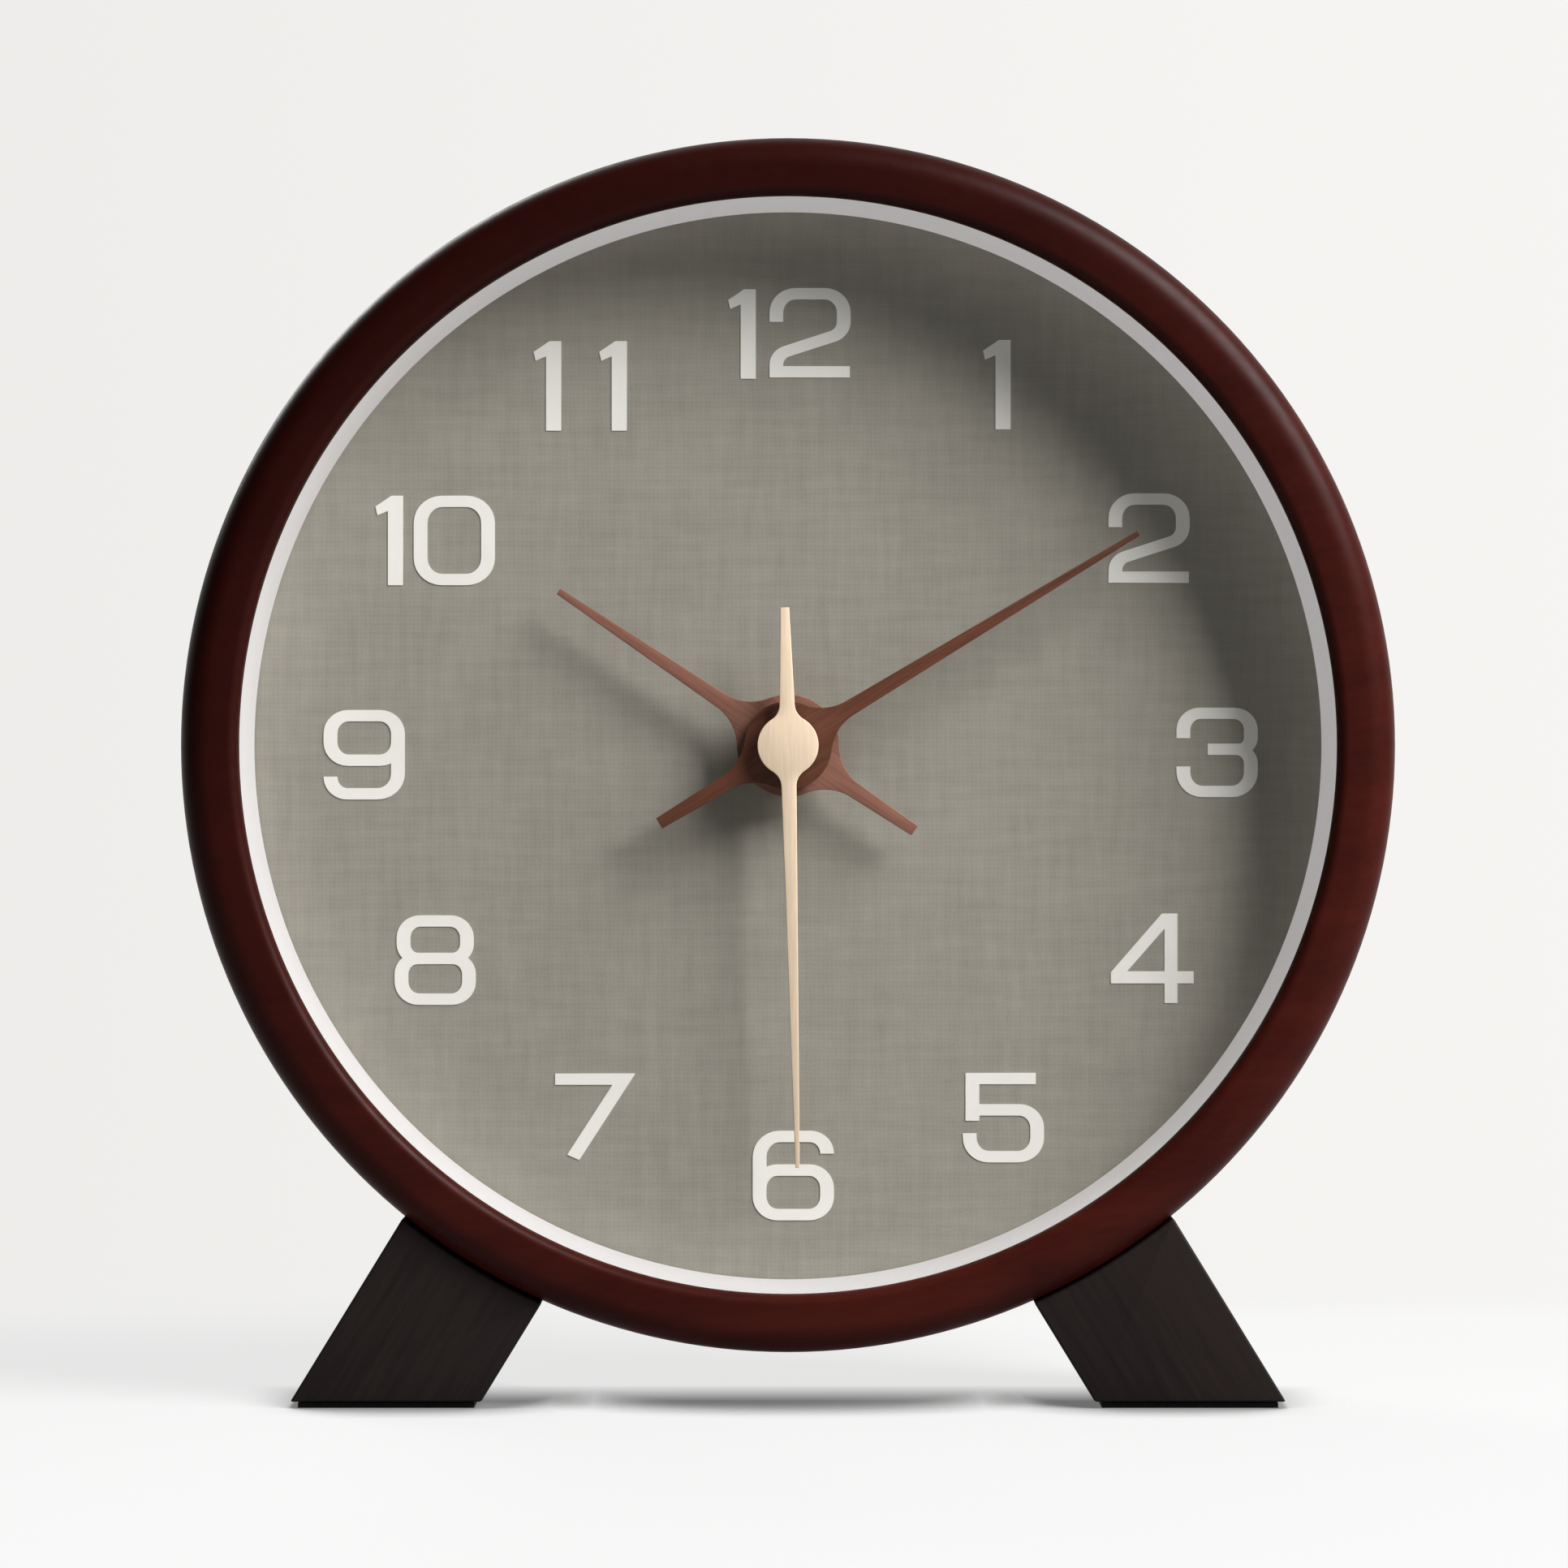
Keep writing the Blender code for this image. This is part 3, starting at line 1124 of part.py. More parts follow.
def main():
    clear_scene()
    parts = collection("round_desk_clock")
    cutters = collection("round_desk_clock_cutters", helper=True)
    looks = materials()
    facing = (math.pi / 2, 0, 0)
    clock = empty("clock_axis", parts, (0, CASE_MIDDLE, AXIS_HEIGHT), rotation=facing)
    axes = {
        "hour": empty("hour_axis", parts, (*CENTRE, 0), clock),
        "minute": empty("minute_axis", parts, (*CENTRE, 0), clock),
        "second": empty("second_axis", parts, (*CENTRE, 0), clock),
        "third": empty("third_axis", parts, (*THIRD, 0), clock),
        "intermediate": empty("intermediate_axis", parts, (*INTERMEDIATE, 0), clock),
        "rotor": empty("rotor_axis", parts, (*ROTOR, 0), clock),
        "minute_wheel": empty("minute_wheel_axis", parts, (*MINUTE_WHEEL, 0), clock),
        "knob": empty("knob_axis", parts, (*KNOB, 0), clock),
    }
    case_ring(parts, cutters, looks["rim"], clock)
    retainer = front_parts(parts, looks, clock)
    back_board(parts, cutters, looks, clock, retainer)
    feet(parts, cutters, looks, clock)
    hands(parts, looks, axes)
    dial_mounting(parts, looks, clock)
    housing(parts, cutters, looks, clock)
    middle_plate(parts, looks, clock)
    back_cover(parts, cutters, looks, clock)
    wheels(parts, cutters, looks, axes)
    setting_knob(parts, cutters, looks, axes)
    motor(parts, cutters, looks, clock)
    electronics(parts, looks, clock)
    battery(parts, looks, clock)
    print("round desk clock built:", len(parts.objects), "objects")


main()
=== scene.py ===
"""Round desk clock: its looks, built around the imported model.

Metres, +Z up, and the dial faces -Y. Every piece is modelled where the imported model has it.
"""

import math

import bmesh
import bpy
from mathutils import Matrix, Vector


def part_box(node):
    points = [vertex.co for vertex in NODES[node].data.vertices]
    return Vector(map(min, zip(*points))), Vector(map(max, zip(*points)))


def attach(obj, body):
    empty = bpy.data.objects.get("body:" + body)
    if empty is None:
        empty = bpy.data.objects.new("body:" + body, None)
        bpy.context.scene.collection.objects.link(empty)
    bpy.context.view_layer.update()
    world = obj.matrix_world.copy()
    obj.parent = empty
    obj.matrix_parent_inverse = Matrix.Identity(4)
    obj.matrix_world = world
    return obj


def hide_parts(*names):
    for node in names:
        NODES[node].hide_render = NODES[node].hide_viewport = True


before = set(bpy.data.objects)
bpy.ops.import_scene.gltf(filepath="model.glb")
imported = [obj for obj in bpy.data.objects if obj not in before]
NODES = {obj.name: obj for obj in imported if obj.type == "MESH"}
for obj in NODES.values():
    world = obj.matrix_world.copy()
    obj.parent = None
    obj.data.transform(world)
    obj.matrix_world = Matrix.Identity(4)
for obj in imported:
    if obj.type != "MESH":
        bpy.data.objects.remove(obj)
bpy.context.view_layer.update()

bl_info = {
    "name": "Round desk clock",
    "version": (1, 0, 0),
    "blender": (4, 5, 0),
    "location": "3D View > Sidebar > Desk clock",
    "description": "Dresses the packed desk clock with its wood, dial, hands and studio",
    "category": "Object",
}

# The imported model's box, and the levels that the pieces are placed by
CASE_LOW, CASE_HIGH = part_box("case_ring")
RING_LOW, RING_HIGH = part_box("spacer_ring")
LENS_LOW, LENS_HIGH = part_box("lens")
DIAL_LOW, DIAL_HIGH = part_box("dial")
BOARD_LOW, BOARD_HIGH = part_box("back_board")
COVER_LOW, COVER_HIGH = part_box("movement_cover")
CELL_LOW, CELL_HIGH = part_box("battery")
CASE_RADIUS = (CASE_HIGH.x - CASE_LOW.x) / 2
BOARD_PLAY = 0.0003
REBATE_RADIUS = BOARD_HIGH.x + BOARD_PLAY
AXIS = Vector((0, 0, CASE_HIGH.z - CASE_RADIUS))
FRONT = CASE_LOW.y
BACK = CASE_HIGH.y
DIAL_FACE = DIAL_LOW.y
MM = 0.001
FACING = (math.pi / 2, 0, 0)

# How near a point has to be to count as on a place, and how near two points are to be made one
NEAR = 0.00008
MERGED = 0.000004


# Sizes and colours that a user would change
def length(name, description, default):
    return bpy.props.FloatProperty(
        name=name,
        description=description,
        default=default,
        min=0,
        unit="LENGTH",
        subtype="DISTANCE",
        precision=4,
    )


def turn(name, description, default):
    return bpy.props.FloatProperty(
        name=name, description=description, default=math.radians(default), unit="ROTATION", subtype="ANGLE"
    )


def amount(name, description, default):
    return bpy.props.FloatProperty(name=name, description=description, default=default, min=0, precision=3)


def count(name, description, default):
    return bpy.props.IntProperty(name=name, description=description, default=default, min=1)


def colour(name, description, written):
    """A colour, with its default written as six hexadecimal digits."""
    return bpy.props.FloatVectorProperty(
        name=name, description=description, default=linear(written), subtype="COLOR", min=0, max=1
    )


def linear(written):
    """A colour written as six hexadecimal digits, in linear light."""
    shares = [int(written[place:place + 2], 16) / 255 for place in (0, 2, 4)]
    return tuple(s / 12.92 if s <= 0.04045 else ((s + 0.055) / 1.055) ** 2.4 for s in shares)


class CaseSizes(bpy.types.PropertyGroup):
    steps: count("Steps", "Straight sides that stand for a full circle", 224)
    face_width: length("Face width", "From the outside of the case to its opening", 0.0098)
    front_round: length("Front round", "Radius of the outer front edge", 0.0050)
    inner_round: length("Inner round", "Radius of the edge at the opening", 0.0018)
    back_round: length("Back round", "Radius of the back edge", 0.0015)
    ring_step: length("Ring step", "How far the white ring starts outside the opening", 0.0002)
    ring_taper: length("Ring taper", "How much the white ring narrows towards the dial", 0.0011)
    ring_edge: length("Ring edge", "Bevel on the edges of the white ring", 0.0003)
    foot_angle: turn("Foot angle", "How far each foot leans from straight down", 31.5)
    foot_width: length("Foot width", "Across a foot, square to its direction", 0.0268)
    foot_edge: length("Foot edge", "Bevel on the edges of the feet", 0.0006)
    joint: length("Joint", "Gap between glued or fitted faces", 0.0003)


class NumberSizes(bpy.types.PropertyGroup):
    width: length("Width", "Of a numeral other than 1", 0.0136)
    height: length("Height", "Of a numeral", 0.0150)
    upright: length("Upright stroke", "Width of the strokes that run up the numeral", 0.0023)
    level: length("Level stroke", "Width of the strokes that run across the numeral", 0.0019)
    thickness: length("Thickness", "How thick the print stands on the dial", 0.00012)


class HourHandSizes(bpy.types.PropertyGroup):
    hub: length("Hub", "Radius of the disc", 0.0085)
    flare: length("Flare", "Radius of the curves that join hub and arm", 0.0080)
    reach: length("Reach", "From the axis to the tip", 0.0460)
    width: length("Width", "Of the arm beside the hub", 0.0026)
    tip: length("Tip", "Width of the tip", 0.0011)
    tail: length("Tail", "From the axis to the end of the tail", 0.0254)
    tail_tip: length("Tail tip", "Width of the end of the tail", 0.0019)
    angle: turn("Angle", "Clockwise from 12", 303.9)


class MinuteHandSizes(bpy.types.PropertyGroup):
    hub: length("Hub", "Radius of the disc", 0.0073)
    flare: length("Flare", "Radius of the curves that join hub and arm", 0.0080)
    reach: length("Reach", "From the axis to the tip", 0.0680)
    width: length("Width", "Of the arm beside the hub", 0.0026)
    tip: length("Tip", "Width of the tip", 0.0009)
    tail: length("Tail", "From the axis to the end of the tail", 0.0250)
    tail_tip: length("Tail tip", "Width of the end of the tail", 0.0020)
    angle: turn("Angle", "Clockwise from 12", 58.8)


class SecondHandSizes(bpy.types.PropertyGroup):
    hub: length("Hub", "Radius of the disc", 0.00505)
    flare: length("Flare", "Radius of the curves that join hub and arm", 0.0030)
    reach: length("Reach", "From the axis to the tip", 0.0699)
    width: length("Width", "Of the arm beside the hub", 0.0025)
    tip: length("Tip", "Width of the tip", 0.0007)
    tail: length("Tail", "From the axis to the end of the tail", 0.0228)
    tail_tip: length("Tail tip", "Width of the end of the tail", 0.0014)
    angle: turn("Angle", "Clockwise from 12", 178.7)


class BackSizes(bpy.types.PropertyGroup):
    hatch_margin: length("Hatch margin", "From the movement to the edge of the hatch", 0.0030)
    hatch_round: length("Hatch round", "Radius of the hatch's corners", 0.0040)
    board_edge: length("Board edge", "Bevel round the back board and its hatch", 0.0005)
    screw_circle: length("Screw circle", "Radius of the circle of board screws", 0.0897)
    screw_head: length("Screw head", "Radius of a screw head", 0.0028)
    screw_depth: length("Screw depth", "How deep a countersunk head is", 0.0018)
    screw_shank: length("Screw shank", "Radius of a screw's shank", 0.0015)
    screw_play: length("Screw play", "Room round a screw in the board", 0.00015)
    screw_tip: length("Screw tip", "Length of a screw's point", 0.0025)
    screw_turn: turn("Screw turn", "How much further each screw is turned than the one before", 73)
    recess: length("Recess", "Length of the cross in a screw head", 0.0032)
    recess_width: length("Recess width", "Width of the cross's arms", 0.0008)
    recess_turn: turn("Recess turn", "How far the cross is turned before its screw is", 20)
    cell_foot: length("Cell foot", "How far the battery's flat end stands out of its jacket", 0.0004)
    cell_roll: length("Cell roll", "Width of the jacket's edge over the ends", 0.0012)
    cell_nub: length("Cell nub", "Height of the battery's positive nub", 0.0010)
    cell_nub_radius: length("Cell nub radius", "Radius of the positive nub", 0.0027)


class ClockColours(bpy.types.PropertyGroup):
    mahogany: colour("Mahogany", "Stained and lacquered wood of the case", "421610")
    # The darker mahogany is the grain's figure, and, darkened further, the painted shade at the case's
    # upper left
    mahogany_dark_figure_and_shade: colour("Mahogany, dark", "Darker figure in the case", "300e0a")
    black_stain: colour("Black stain", "Wood of the feet", "211918")
    white_ring: colour("White ring", "Milky ring round the dial", "f2efee")
    dial_paper: colour("Dial paper", "Woven paper of the dial", "989489")
    print_ink: colour("Print", "Numbers on the dial", "f4f2ea")
    hour_wood: colour("Hour hand", "Reddish wood", "906353")
    minute_wood: colour("Minute hand", "Walnut", "683e2c")
    second_wood: colour("Second hand", "Maple", "fbe2c4")
    board: colour("Back board", "Dark pressed board", "3a2c23")
    plastic: colour("Plastic", "Movement housing", "1b1b1c")


class StudioSizes(bpy.types.PropertyGroup):
    distance: length("Distance", "From the front of the clock to the camera", 0.780)
    camera_right: bpy.props.FloatProperty(
        name="Camera right",
        description="Camera's place to the right of the axis",
        default=-0.00066,
        unit="LENGTH",
    )
    camera_height: length("Camera height", "Camera's height above the floor", 0.1027)
    view_width: length("View width", "Width of the picture at the clock's front", 0.25674)
    wall: length("Wall", "From the front of the clock to the far edge of the floor", 0.183)
    key_zenith: turn("Key from front", "Angle between the key light and the camera's direction", 66)
    key_azimuth: turn("Key round", "Direction of the key light, from the right towards the top", 45)
    key_distance: length("Key distance", "From the dial to the key light", 1.2)
    key_size: length("Key size", "Side of the key light", 0.68)
    key_strength: amount("Key strength", "Brightness of the key light's face", 25.2)
    back_strength: amount("Back strength", "Brightness of the light behind the clock", 7.0)
    sky: amount("Sky", "Brightness of the room", 0.012)
    floor_glow: amount("Floor glow", "Brightness of the floor where it is seen, with no light on it", 0.74)
    # Floor dark and contact set the painted shadow that dims the floor's glow under the clock
    floor_painted_shadow: amount("Floor dark", "The same, where the clock darkens the floor most", 0.16)
    floor_shade: amount("Floor shade", "Share of the light that the floor shows where it is seen", 0.11)
    floor_bounce: amount("Floor bounce", "Share of the light that the floor returns to the clock", 0.24)
    floor_side: length("Floor side", "Side of the floor", 3.0)
    floor_fade: length("Floor fade", "How far the floor's far edge fades into the room", 0.05)
    contact: length("Contact", "How close to a piece the floor darkens", 0.016)


def sizes(name):
    """The property group of that name on the scene."""
    return getattr(bpy.context.scene, "clock_" + name)


# Modelling by hand: add, select, shape, apply
def only(piece):
    """Makes a piece the one that is selected and active."""
    bpy.ops.object.select_all(action="DESELECT")
    piece.select_set(True)
    bpy.context.view_layer.objects.active = piece


def settle(name):
    """Names the piece just added and puts its place, turn and size into its mesh."""
    piece = bpy.context.active_object
    piece.name = name
    piece.data.name = name
    only(piece)
    bpy.ops.object.transform_apply(location=True, rotation=True, scale=True)
    return piece


def drum(name, radius, front, back, steps, centre=AXIS, end_radius=None):
    """A round drum along Y, or a cone where its back has a radius of its own."""
    bpy.ops.object.select_all(action="DESELECT")
    middle = (centre[0], (front + back) / 2, centre[2])
    bpy.ops.mesh.primitive_cone_add(
        vertices=steps,
        radius1=radius,
        radius2=radius if end_radius is None else end_radius,
        depth=back - front,
        location=middle,
        rotation=(-math.pi / 2, 0, 0),
    )
    return settle(name)


def block(name, low, high, turned_by=0):
    """A box between two corners, turned about Y round its own middle."""
    bpy.ops.object.select_all(action="DESELECT")
    low, high = Vector(low), Vector(high)
    bpy.ops.mesh.primitive_cube_add(size=1, location=(low + high) / 2, rotation=(0, turned_by, 0))
    bpy.context.active_object.scale = high - low
    return settle(name)


def edit(piece):
    """Opens a piece in edit mode."""
    only(piece)
    bpy.ops.object.mode_set(mode="EDIT")


def done():
    """Closes the piece that is open."""
    bpy.ops.object.mode_set(mode="OBJECT")


def pick(kind, test):
    """In edit mode, selects only the vertices, edges or faces for which a test is true."""
    bpy.ops.mesh.select_mode(type=kind)
    bpy.ops.mesh.select_all(action="DESELECT")
    data = bpy.context.edit_object.data
    mesh = bmesh.from_edit_mesh(data)
    found = 0
    for element in {"VERT": mesh.verts, "EDGE": mesh.edges, "FACE": mesh.faces}[kind]:
        if test(element):
            element.select_set(True)
            found += 1
    mesh.select_flush_mode()
    bmesh.update_edit_mesh(data)
    if not found:
        raise RuntimeError(f"nothing to select on {bpy.context.edit_object.name}")


def off_axis(point):
    """How far a point is from the clock's axis."""
    return math.hypot(point.x - AXIS.x, point.z - AXIS.z)


def farthest(face):
    """How far a face reaches from the clock's axis."""
    return max(off_axis(v.co) for v in face.verts)


def on_circle(radius, level):
    """A test for edges that lie on a circle round the axis at a level."""
    return lambda edge: all(
        abs(v.co.y - level) < NEAR and abs(off_axis(v.co) - radius) < NEAR for v in edge.verts
    )


def facing(direction, level=None):
    """A test for faces that look along a direction, at a level along Y where one is given."""
    direction = Vector(direction)
    return lambda face: face.normal.dot(direction) > 0.9 and (
        level is None or abs(face.calc_center_median().y - level) < NEAR
    )


def bevelled(test, width, segments):
    """Rounds the edges for which a test is true."""
    pick("EDGE", test)
    bpy.ops.mesh.bevel(offset=width, offset_type="OFFSET", segments=segments, profile=0.5, affect="EDGES")


def cut(piece, cutter, operation="DIFFERENCE"):
    """Cuts a piece with another, or joins the two, and removes the cutter."""
    only(piece)
    boolean = piece.modifiers.new("cut", "BOOLEAN")
    boolean.operation = operation
    boolean.solver = "EXACT"
    boolean.object = cutter
    bpy.ops.object.modifier_apply(modifier=boolean.name)
    bpy.data.objects.remove(cutter)


def rounded(piece, width, segments, limit):
    """Rounds every edge of a piece that is sharper than a limit in degrees."""
    only(piece)
    bevel = piece.modifiers.new("edges", "BEVEL")
    bevel.width = width
    bevel.segments = segments
    bevel.limit_method = "ANGLE"
    bevel.angle_limit = math.radians(limit)
    bevel.use_clamp_overlap = True
    bpy.ops.object.modifier_apply(modifier=bevel.name)


def smooth(piece, limit):
    """Shades a piece smooth but for edges sharper than a limit in degrees."""
    only(piece)
    bpy.ops.object.shade_smooth_by_angle(angle=math.radians(limit))


def dress(piece, material, body, slot, *replaced):
    """Gives a finished piece its material and its body, and hides what it stands for; its slot is not used.
    """
    piece.data.materials.clear()
    piece.data.materials.append(material)
    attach(piece, body)
    if replaced:
        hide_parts(*replaced)


def flat_piece(name, outlines, level, thickness, bevel=0.0, spin=0.0):
    """A thin piece that faces -Y, from closed outlines in X and Z round the clock's axis."""
    shape = bpy.data.curves.new(name, "CURVE")
    shape.dimensions = "2D"
    shape.fill_mode = "BOTH"
    shape.extrude = thickness / 2 - bevel
    shape.bevel_depth = bevel
    shape.bevel_resolution = 2
    shape.offset = -bevel
    for outline in outlines:
        spline = shape.splines.new("POLY")
        spline.points.add(len(outline) - 1)
        for point, (x, y) in zip(spline.points, outline):
            point.co = (x, y, 0, 1)
        spline.use_cyclic_u = True
    piece = bpy.data.objects.new(name, shape)
    bpy.context.scene.collection.objects.link(piece)
    only(piece)
    bpy.ops.object.convert(target="MESH")
    piece = bpy.context.active_object
    piece.name = name
    piece.data.name = name
    place = Vector((AXIS.x, level + thickness / 2, AXIS.z))
    stand = Matrix.Rotation(math.pi / 2, 4, "X") @ Matrix.Rotation(-spin, 4, "Z")
    piece.data.transform(Matrix.Translation(place) @ stand)
    edit(piece)
    bpy.ops.mesh.select_all(action="SELECT")
    bpy.ops.mesh.remove_doubles(threshold=MERGED)
    bpy.ops.mesh.normals_make_consistent(inside=False)
    done()
    return piece


def arc(centre, radius, start, end, steps):
    """Points on an arc, with its angles in degrees."""
    points = []
    for step in range(steps + 1):
        angle = math.radians(start + (end - start) * step / steps)
        points.append((centre[0] + radius * math.cos(angle), centre[1] + radius * math.sin(angle)))
    return points


# Materials
class Finish:
    """A material under construction: a Principled shader and the nodes that feed it."""

    def __init__(self, name, tone, roughness, metallic=0.0):
        self.material = bpy.data.materials.new(name)
        self.material.use_nodes = True
        self.tree = self.material.node_tree
        self.shader = self.tree.nodes["Principled BSDF"]
        self.set("Base Color", (*tone, 1))
        self.set("Roughness", roughness)
        self.set("Metallic", metallic)
        self.material.diffuse_color = (*tone, 1)
        self.place = self.add("ShaderNodeTexCoord").outputs["Object"]
        self.heights = None

    def set(self, socket, value):
        self.shader.inputs[socket].default_value = value

    def add(self, kind, links=(), **settings):
        """Adds a node. Its links and values are given by the name of the input socket."""
        node = self.tree.nodes.new(kind)
        for name, value in settings.items():
            setattr(node, name, value)
        for socket, value in dict(links).items():
            if isinstance(value, bpy.types.NodeSocket):
                self.tree.links.new(value, node.inputs[socket])
            else:
                node.inputs[socket].default_value = value
        return node

    def laid(self, scale=(1, 1, 1), turned=(0, 0, 0)):
        """Object coordinates, turned and stretched."""
        aligned = self.add("ShaderNodeMapping", {"Vector": self.place, "Rotation": turned})
        values = {"Vector": aligned.outputs["Vector"], "Scale": scale}
        return self.add("ShaderNodeMapping", values).outputs["Vector"]

    def noise(self, scale, detail=4.0, at=None, rough=0.5, distortion=0.0):
        values = {
            "Vector": at or self.place,
            "Scale": scale,
            "Detail": detail,
            "Roughness": rough,
            "Distortion": distortion,
        }
        return self.add("ShaderNodeTexNoise", values).outputs["Fac"]

    def wave(self, scale, at, distortion=0.0, detail=2.0, direction="X", profile="SIN"):
        values = {"Vector": at, "Scale": scale, "Distortion": distortion, "Detail": detail}
        return self.add(
            "ShaderNodeTexWave", values, wave_type="BANDS", bands_direction=direction, wave_profile=profile
        ).outputs["Fac"]

    def ramp(self, value, low, high, start=0.0, end=1.0):
        """A number mapped from one range to another, and held there."""
        values = {"Value": value, "From Min": low, "From Max": high, "To Min": start, "To Max": end}
        return self.add("ShaderNodeMapRange", values).outputs["Result"]

    def maths(self, operation, first, second=0.0):
        node = self.add("ShaderNodeMath", {0: first, 1: second}, operation=operation)
        return node.outputs["Value"]

    def mixed(self, share, first, second):
        """Two colours mixed by a share."""
        node = self.add("ShaderNodeMix", {"Factor": share}, data_type="RGBA")
        for socket, value in ((node.inputs[6], first), (node.inputs[7], second)):
            if isinstance(value, bpy.types.NodeSocket):
                self.tree.links.new(value, socket)
            else:
                socket.default_value = (*value, 1)
        return node.outputs[2]

    def feed(self, socket, value):
        self.tree.links.new(value, self.shader.inputs[socket])

    def bump(self, height, distance, strength=1.0):
        """Raises the surface by a height that runs from 0 to 1."""
        values = {"Height": height, "Distance": distance, "Strength": strength}
        node = self.add("ShaderNodeBump", values)
        if self.heights:
            self.tree.links.new(self.heights, node.inputs["Normal"])
        self.heights = node.outputs["Normal"]
        self.feed("Normal", self.heights)


def shaded(tone, share):
    """A colour made lighter or darker by a share."""
    return tuple(min(1.0, part * share) for part in tone)


def wood(name, tone, dark, along, grain=900.0, roughness=0.4, specular=0.4, pores=0.00002, figure=0.55):
    """Straight-grained wood. Along turns the grain, which first runs along X."""
    look = Finish(name, tone, roughness)
    fibres = look.laid(scale=(0.06, 1, 1), turned=along)
    lines = look.noise(grain, 5, fibres, 0.6, 0.25)
    clouds = look.noise(grain / 14, 3, fibres, 0.5, 0.6)
    share = look.maths("ADD", look.maths("MULTIPLY", lines, 0.6), look.maths("MULTIPLY", clouds, 0.4))
    look.feed("Base Color", look.mixed(look.ramp(share, 0.5 - figure / 4, 0.5 + figure / 4), dark, tone))
    look.feed("Roughness", look.ramp(lines, 0.3, 0.7, roughness * 1.12, roughness * 0.9))
    look.bump(lines, pores)
    look.set("Specular IOR Level", specular)
    return look.material


def mahogany(tone, dark):
    """Close-grained stained wood under a thin satin lacquer, with painted shade that darkens it towards the
    upper left.
    """
    look = Finish("mahogany", tone, 0.42)
    fibres = look.laid(scale=(0.22, 1, 1), turned=(0, 0.12, 0))
    mottle = look.noise(95, 4, fibres, 0.55, 0.8)
    lines = look.noise(1500, 3, fibres, 0.6)
    share = look.maths("ADD", look.maths("MULTIPLY", mottle, 0.72), look.maths("MULTIPLY", lines, 0.28))
    figured = look.mixed(look.ramp(share, 0.34, 0.66), dark, tone)
    # Painted shade: a gradient by place darkens the wood towards the upper left, standing in for the shade
    # there
    split = look.add("ShaderNodeSeparateXYZ", {"Vector": look.place})
    across = look.maths("MULTIPLY", split.outputs["X"], 0.5)
    down = look.maths("MULTIPLY", look.maths("SUBTRACT", AXIS.z, split.outputs["Z"]), 0.87)
    painted_shade_slope = look.ramp(look.maths("ADD", across, down), -CASE_RADIUS, CASE_RADIUS, 0.0, 1.0)
    look.feed("Base Color", look.mixed(painted_shade_slope, shaded(dark, 0.55), figured))
    look.feed("Roughness", look.ramp(look.noise(420, 3), 0.3, 0.7, 0.36, 0.44))
    look.bump(look.noise(1300, 3, fibres), 0.000012, 0.5)
    look.bump(look.noise(160, 2), 0.00006, 0.35)
    look.set("Specular IOR Level", 0.06)
    return look.material


def linen(tone):
    """Woven paper: level and upright threads of uneven thickness, and dust in the weave."""
    look = Finish("linen_dial", tone, 0.92)
    at = look.laid()
    level = look.wave(430, at, 3.0, 3.0, "Z")
    upright = look.wave(430, at, 3.0, 3.0, "X")
    weave = look.maths("MAXIMUM", level, upright)
    streaks_level = look.noise(640, 3, look.laid(scale=(0.14, 1, 1)))
    streaks_upright = look.noise(640, 3, look.laid(scale=(1, 1, 0.14)))
    streaks = look.maths("MULTIPLY", look.maths("ADD", streaks_level, streaks_upright), 0.5)
    cloud = look.noise(60, 3)
    share = look.maths("ADD", look.maths("MULTIPLY", streaks, 0.66), look.maths("MULTIPLY", weave, 0.08))
    share = look.maths("ADD", share, look.maths("MULTIPLY", cloud, 0.26))
    light = look.ramp(share, 0.36, 0.64)
    look.feed("Base Color", look.mixed(light, shaded(tone, 0.90), shaded(tone, 1.10)))
    look.bump(weave, 0.00004, 0.35)
    look.bump(streaks, 0.00006, 0.5)
    look.set("Specular IOR Level", 0.25)
    return look.material


def plain(name, tone, roughness=0.5, metallic=0.0, grain=600.0, spread=0.08, depth=0.00001, specular=0.5):
    """A moulded, painted or cast surface: an even colour with a slight mottle and a fine texture."""
    look = Finish(name, tone, roughness, metallic)
    mottle = look.noise(grain / 6, 3)
    fine = look.noise(grain, 4)
    light = look.ramp(mottle, 0.35, 0.65)
    look.feed("Base Color", look.mixed(light, shaded(tone, 1 - spread), shaded(tone, 1 + spread)))
    look.feed("Roughness", look.ramp(fine, 0.3, 0.7, roughness * 0.88, roughness * 1.12))
    look.bump(fine, depth, 0.6)
    look.set("Specular IOR Level", specular)
    return look.material


def glowing_white(tone):
    """White plastic with painted light: a low base colour and a glow that keeps its shaded side pale."""
    look = Finish("white_plastic_painted_glow", shaded(tone, 0.36), 0.5)
    mottle = look.ramp(look.noise(100, 3), 0.35, 0.65)
    look.feed("Base Color", look.mixed(mottle, shaded(tone, 0.355), shaded(tone, 0.365)))
    look.feed("Roughness", look.ramp(look.noise(600, 4), 0.3, 0.7, 0.45, 0.55))
    # Painted light: the ring glows, though it is no lamp, so that its shaded side stays pale
    look.feed("Emission Color", look.mixed(mottle, shaded(tone, 0.98), tone))
    look.set("Emission Strength", 0.42)
    look.set("Specular IOR Level", 0.3)
    return look.material


def brushed(name, tone, roughness=0.3, turned=(0, 0, 0)):
    """Drawn or turned metal with fine lines."""
    look = Finish(name, tone, roughness, 1.0)
    lines = look.noise(2600, 3, look.laid(scale=(0.05, 1, 1), turned=turned))
    look.feed("Base Color", look.mixed(look.ramp(lines, 0.3, 0.7), shaded(tone, 0.88), shaded(tone, 1.05)))
    look.feed("Roughness", look.ramp(lines, 0.3, 0.7, roughness * 0.8, roughness * 1.2))
    look.bump(lines, 0.000004, 0.5)
    return look.material


